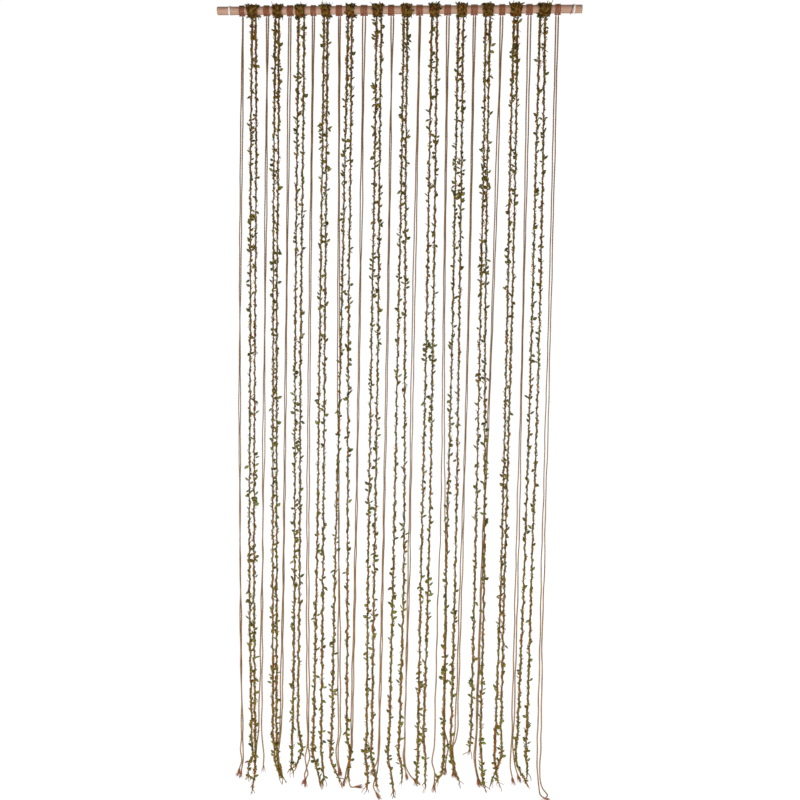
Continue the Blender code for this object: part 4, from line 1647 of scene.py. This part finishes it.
@dataclass(frozen=True)
class RodWinding:
    """A thin cord wound round the rod, such as a hanging band or a tie.

    advance is how far each turn steps along the rod, lean how far the turns slant, and
    tail how far both ends hang below the rod.
    """

    node: str
    label: str
    slot: str
    diameter: float
    turns: float
    advance: float
    lean: float = 0.0
    tail: float = 0.0
    steps_per_turn: int = 24
    tail_back: float = 1 * MM

    def line(self, middle: float, radius: float) -> Points:
        """The winding's path about the rod, from one end to the other."""
        steps = round(self.steps_per_turn * self.turns)
        line: Points = []
        for step in range(steps + 1):
            share = step / steps
            angle = math.tau * self.turns * share
            x = middle + self.advance * self.turns * (share - 0.5) - self.lean * math.cos(angle)
            line.append(Vector((x, -radius * math.sin(angle), -radius * math.cos(angle))))
        if self.tail:
            line.insert(0, Vector((middle - self.lean, self.tail_back, -radius - self.tail)))
            line.append(Vector((middle - self.lean * 1.3, -self.tail_back, -radius - self.tail * 1.4)))
        return line

    def build(
        self, tree: bpy.types.NodeTree, material: bpy.types.Material, radius: float
    ) -> bpy.types.Object:
        """Sweep the winding round a rod of a radius, in the middle of its node."""
        low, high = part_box(self.node)
        middle = (low.x + high.x) / 2
        line = self.line(middle, radius + self.diameter / 2)
        # Its own strand number gives each winding its own run of shades
        numbers = {"girth": 1.0, "wound": 0.0, "tip": 0.0, "strand": middle * 100}
        values = {
            "Cord Radius": self.diameter / 2,
            "Ply Flatness": 0.62,
            "Ply Pitch": self.diameter * 2.6,
            "Ring Step": self.diameter * 0.42,
            "Cord Material": material,
        }
        rows = {name: [value] * len(line) for name, value in numbers.items()}
        return grow(route_object(f"{self.node}_{self.label}", line, rows), tree, values)


BANDS = tuple(
    RodWinding(
        node=f"hanging_band_{side}",
        label="cotton",
        slot="white_cord",
        diameter=2.1 * MM,
        turns=2.0,
        advance=2.0 * MM,
        lean=lean,
    )
    for side, lean in (("left", 0.0), ("right", 0.7 * MM))
)
TIE = RodWinding(
    node="tie_thread",
    label="brown",
    slot="brown_cord",
    diameter=1.6 * MM,
    turns=1.0,
    advance=0.5 * MM,
    lean=2.4 * MM,
    tail=1.6 * MM,
)


class SoftLight(NamedTuple):
    """One square soft light: where it hangs, what it looks at, its side and its watts."""

    name: str
    place: Triple
    aim: Triple
    size: float
    power: float

    def hang(self) -> None:
        """Put the light into the scene, unseen by the camera."""
        data = bpy.data.lights.new(self.name, "AREA")
        data.size = self.size
        data.energy = self.power
        lamp = link(self.name, data)
        lamp.visible_camera = False
        lamp.location = self.place
        lamp.rotation_euler = (Vector(self.aim) - lamp.location).to_track_quat("-Z", "Y").to_euler()


@dataclass
class Studio:
    """Pale sweep, soft lights and the camera at the photograph's angle."""

    floor_height: float
    room: float = 5.6
    bend: float = 0.9
    bend_steps: int = 8
    wall: float = 5.0
    sides: int = 64
    air_light: float = 0.22
    camera_place: Triple = (0.165, -2.38, -0.811)
    yaw_deg: float = 3.47
    pitch_deg: float = -3.635
    roll_deg: float = 0.9
    lens: float = 42.55
    sensor: float = 36.0
    lights: tuple[SoftLight, ...] = (
        SoftLight("key_front", (-0.4, -3.4, -1.5), (0, 0, -0.8), 2.4, 98.0),
        SoftLight("fill_right", (2.6, -2.2, -1.2), (0, 0, -0.9), 2.0, 28.0),
        SoftLight("fill_left", (-2.6, -2.0, -1.2), (0, 0, -0.9), 2.0, 28.0),
        SoftLight("floor_glow", (0.0, -1.1, -1.98), (0, 0, 0), 1.6, 26.0),
        SoftLight("key_back", (0.4, 3.4, -1.1), (0, 0, -0.9), 2.4, 80.0),
    )

    def build(self) -> None:
        """Set up the whole studio."""
        self.sweep()
        for light in self.lights:
            light.hang()
        self.air()
        self.camera()

    def sweep(self) -> None:
        """A round paper floor that curves up into a wall on every side."""
        profile = [(self.room - self.bend, 0.0)]
        for step in range(1, self.bend_steps + 1):
            angle = math.radians(90 * step / self.bend_steps)
            reach = self.room - self.bend + self.bend * math.sin(angle)
            profile.append((reach, self.bend * (1 - math.cos(angle))))
        profile.append((self.room, self.wall))
        rings = [
            ring(Vector((0.0, 0.0, self.floor_height + height)), reach, self.sides)
            for reach, height in profile
        ]
        inward = [tuple(reversed(face)) for face in skin(rings)]
        mesh = bpy.data.meshes.new("studio_sweep")
        mesh.from_pydata([point for row in rings for point in row], [], [tuple(range(self.sides))] + inward)
        mesh.shade_smooth()
        mesh.materials.append(paper_material())
        sweep = link("studio_sweep", mesh)
        sweep.visible_diffuse = False
        sweep.visible_glossy = False
        sweep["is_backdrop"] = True

    def air(self) -> None:
        """Even white light from all round."""
        world = bpy.data.worlds.new("studio_air")
        bpy.context.scene.world = world
        world.use_nodes = True
        background = world.node_tree.nodes["Background"]
        background.inputs["Color"].default_value = opaque((1.0, 1.0, 1.0))
        background.inputs["Strength"].default_value = self.air_light

    def camera(self) -> None:
        """Place the camera as the photograph was taken."""
        yaw, pitch, roll = (math.radians(angle) for angle in (self.yaw_deg, self.pitch_deg, self.roll_deg))
        forward = Vector((-math.sin(yaw) * math.cos(pitch), math.cos(yaw) * math.cos(pitch), math.sin(pitch)))
        level = Vector((math.cos(yaw), math.sin(yaw), 0.0))
        above = level.cross(forward)
        right = level * math.cos(roll) + above * math.sin(roll)
        up = above * math.cos(roll) - level * math.sin(roll)
        data = bpy.data.cameras.new("photo_camera")
        data.lens = self.lens
        data.sensor_width = self.sensor
        data.clip_end = 50.0
        camera = link("photo_camera", data)
        turn = Matrix((right, up, -forward)).transposed().to_4x4()
        camera.matrix_world = Matrix.Translation(self.camera_place) @ turn
        bpy.context.scene.camera = camera
        bpy.context.scene.view_settings.view_transform = "Standard"


def seat(piece: bpy.types.Object, node: str) -> int:
    """Let a piece stand for a node of the frame, log it and return its triangles."""
    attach(piece, "root")
    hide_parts(node)
    triangles = sum(len(face.vertices) - 2 for face in piece.data.polygons)
    LOG.info("%s stands for %s with %d triangles", piece.name, node, triangles)
    return triangles


def main() -> None:
    """Dress the whole curtain and set up the studio."""
    logging.basicConfig(level=logging.INFO, format="%(name)s: %(message)s")
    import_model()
    rod_low, rod_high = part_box("rod")
    rod_radius = (rod_high.z - rod_low.z) / 2

    total = seat(WoodenRod(rod_low, rod_high).build(), "rod")
    shop = Workshop.open()
    cotton = WHITE_COTTON.material()
    for band in BANDS:
        total += seat(band.build(shop.cord_tree, cotton, rod_radius), band.node)
    total += seat(TIE.build(shop.cord_tree, TIE_BROWN.material(), rod_radius), TIE.node)

    counts = {kind: 0 for kind in Kind}
    for seed, hank in enumerate(HANKS):
        counts[hank.kind] += 1
        node = f"{hank.kind.value}_{counts[hank.kind]:02d}"
        dressed = HANK_CLASSES[hank.kind](node, hank, seed=seed, rod_radius=rod_radius)
        total += seat(dressed.build(shop), node)
    shop.close()
    LOG.info("the curtain has %d triangles in all", total)

    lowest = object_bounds()[0][2]
    Studio(floor_height=lowest - 4 * MM).build()


if __name__ == "__main__":
    main()
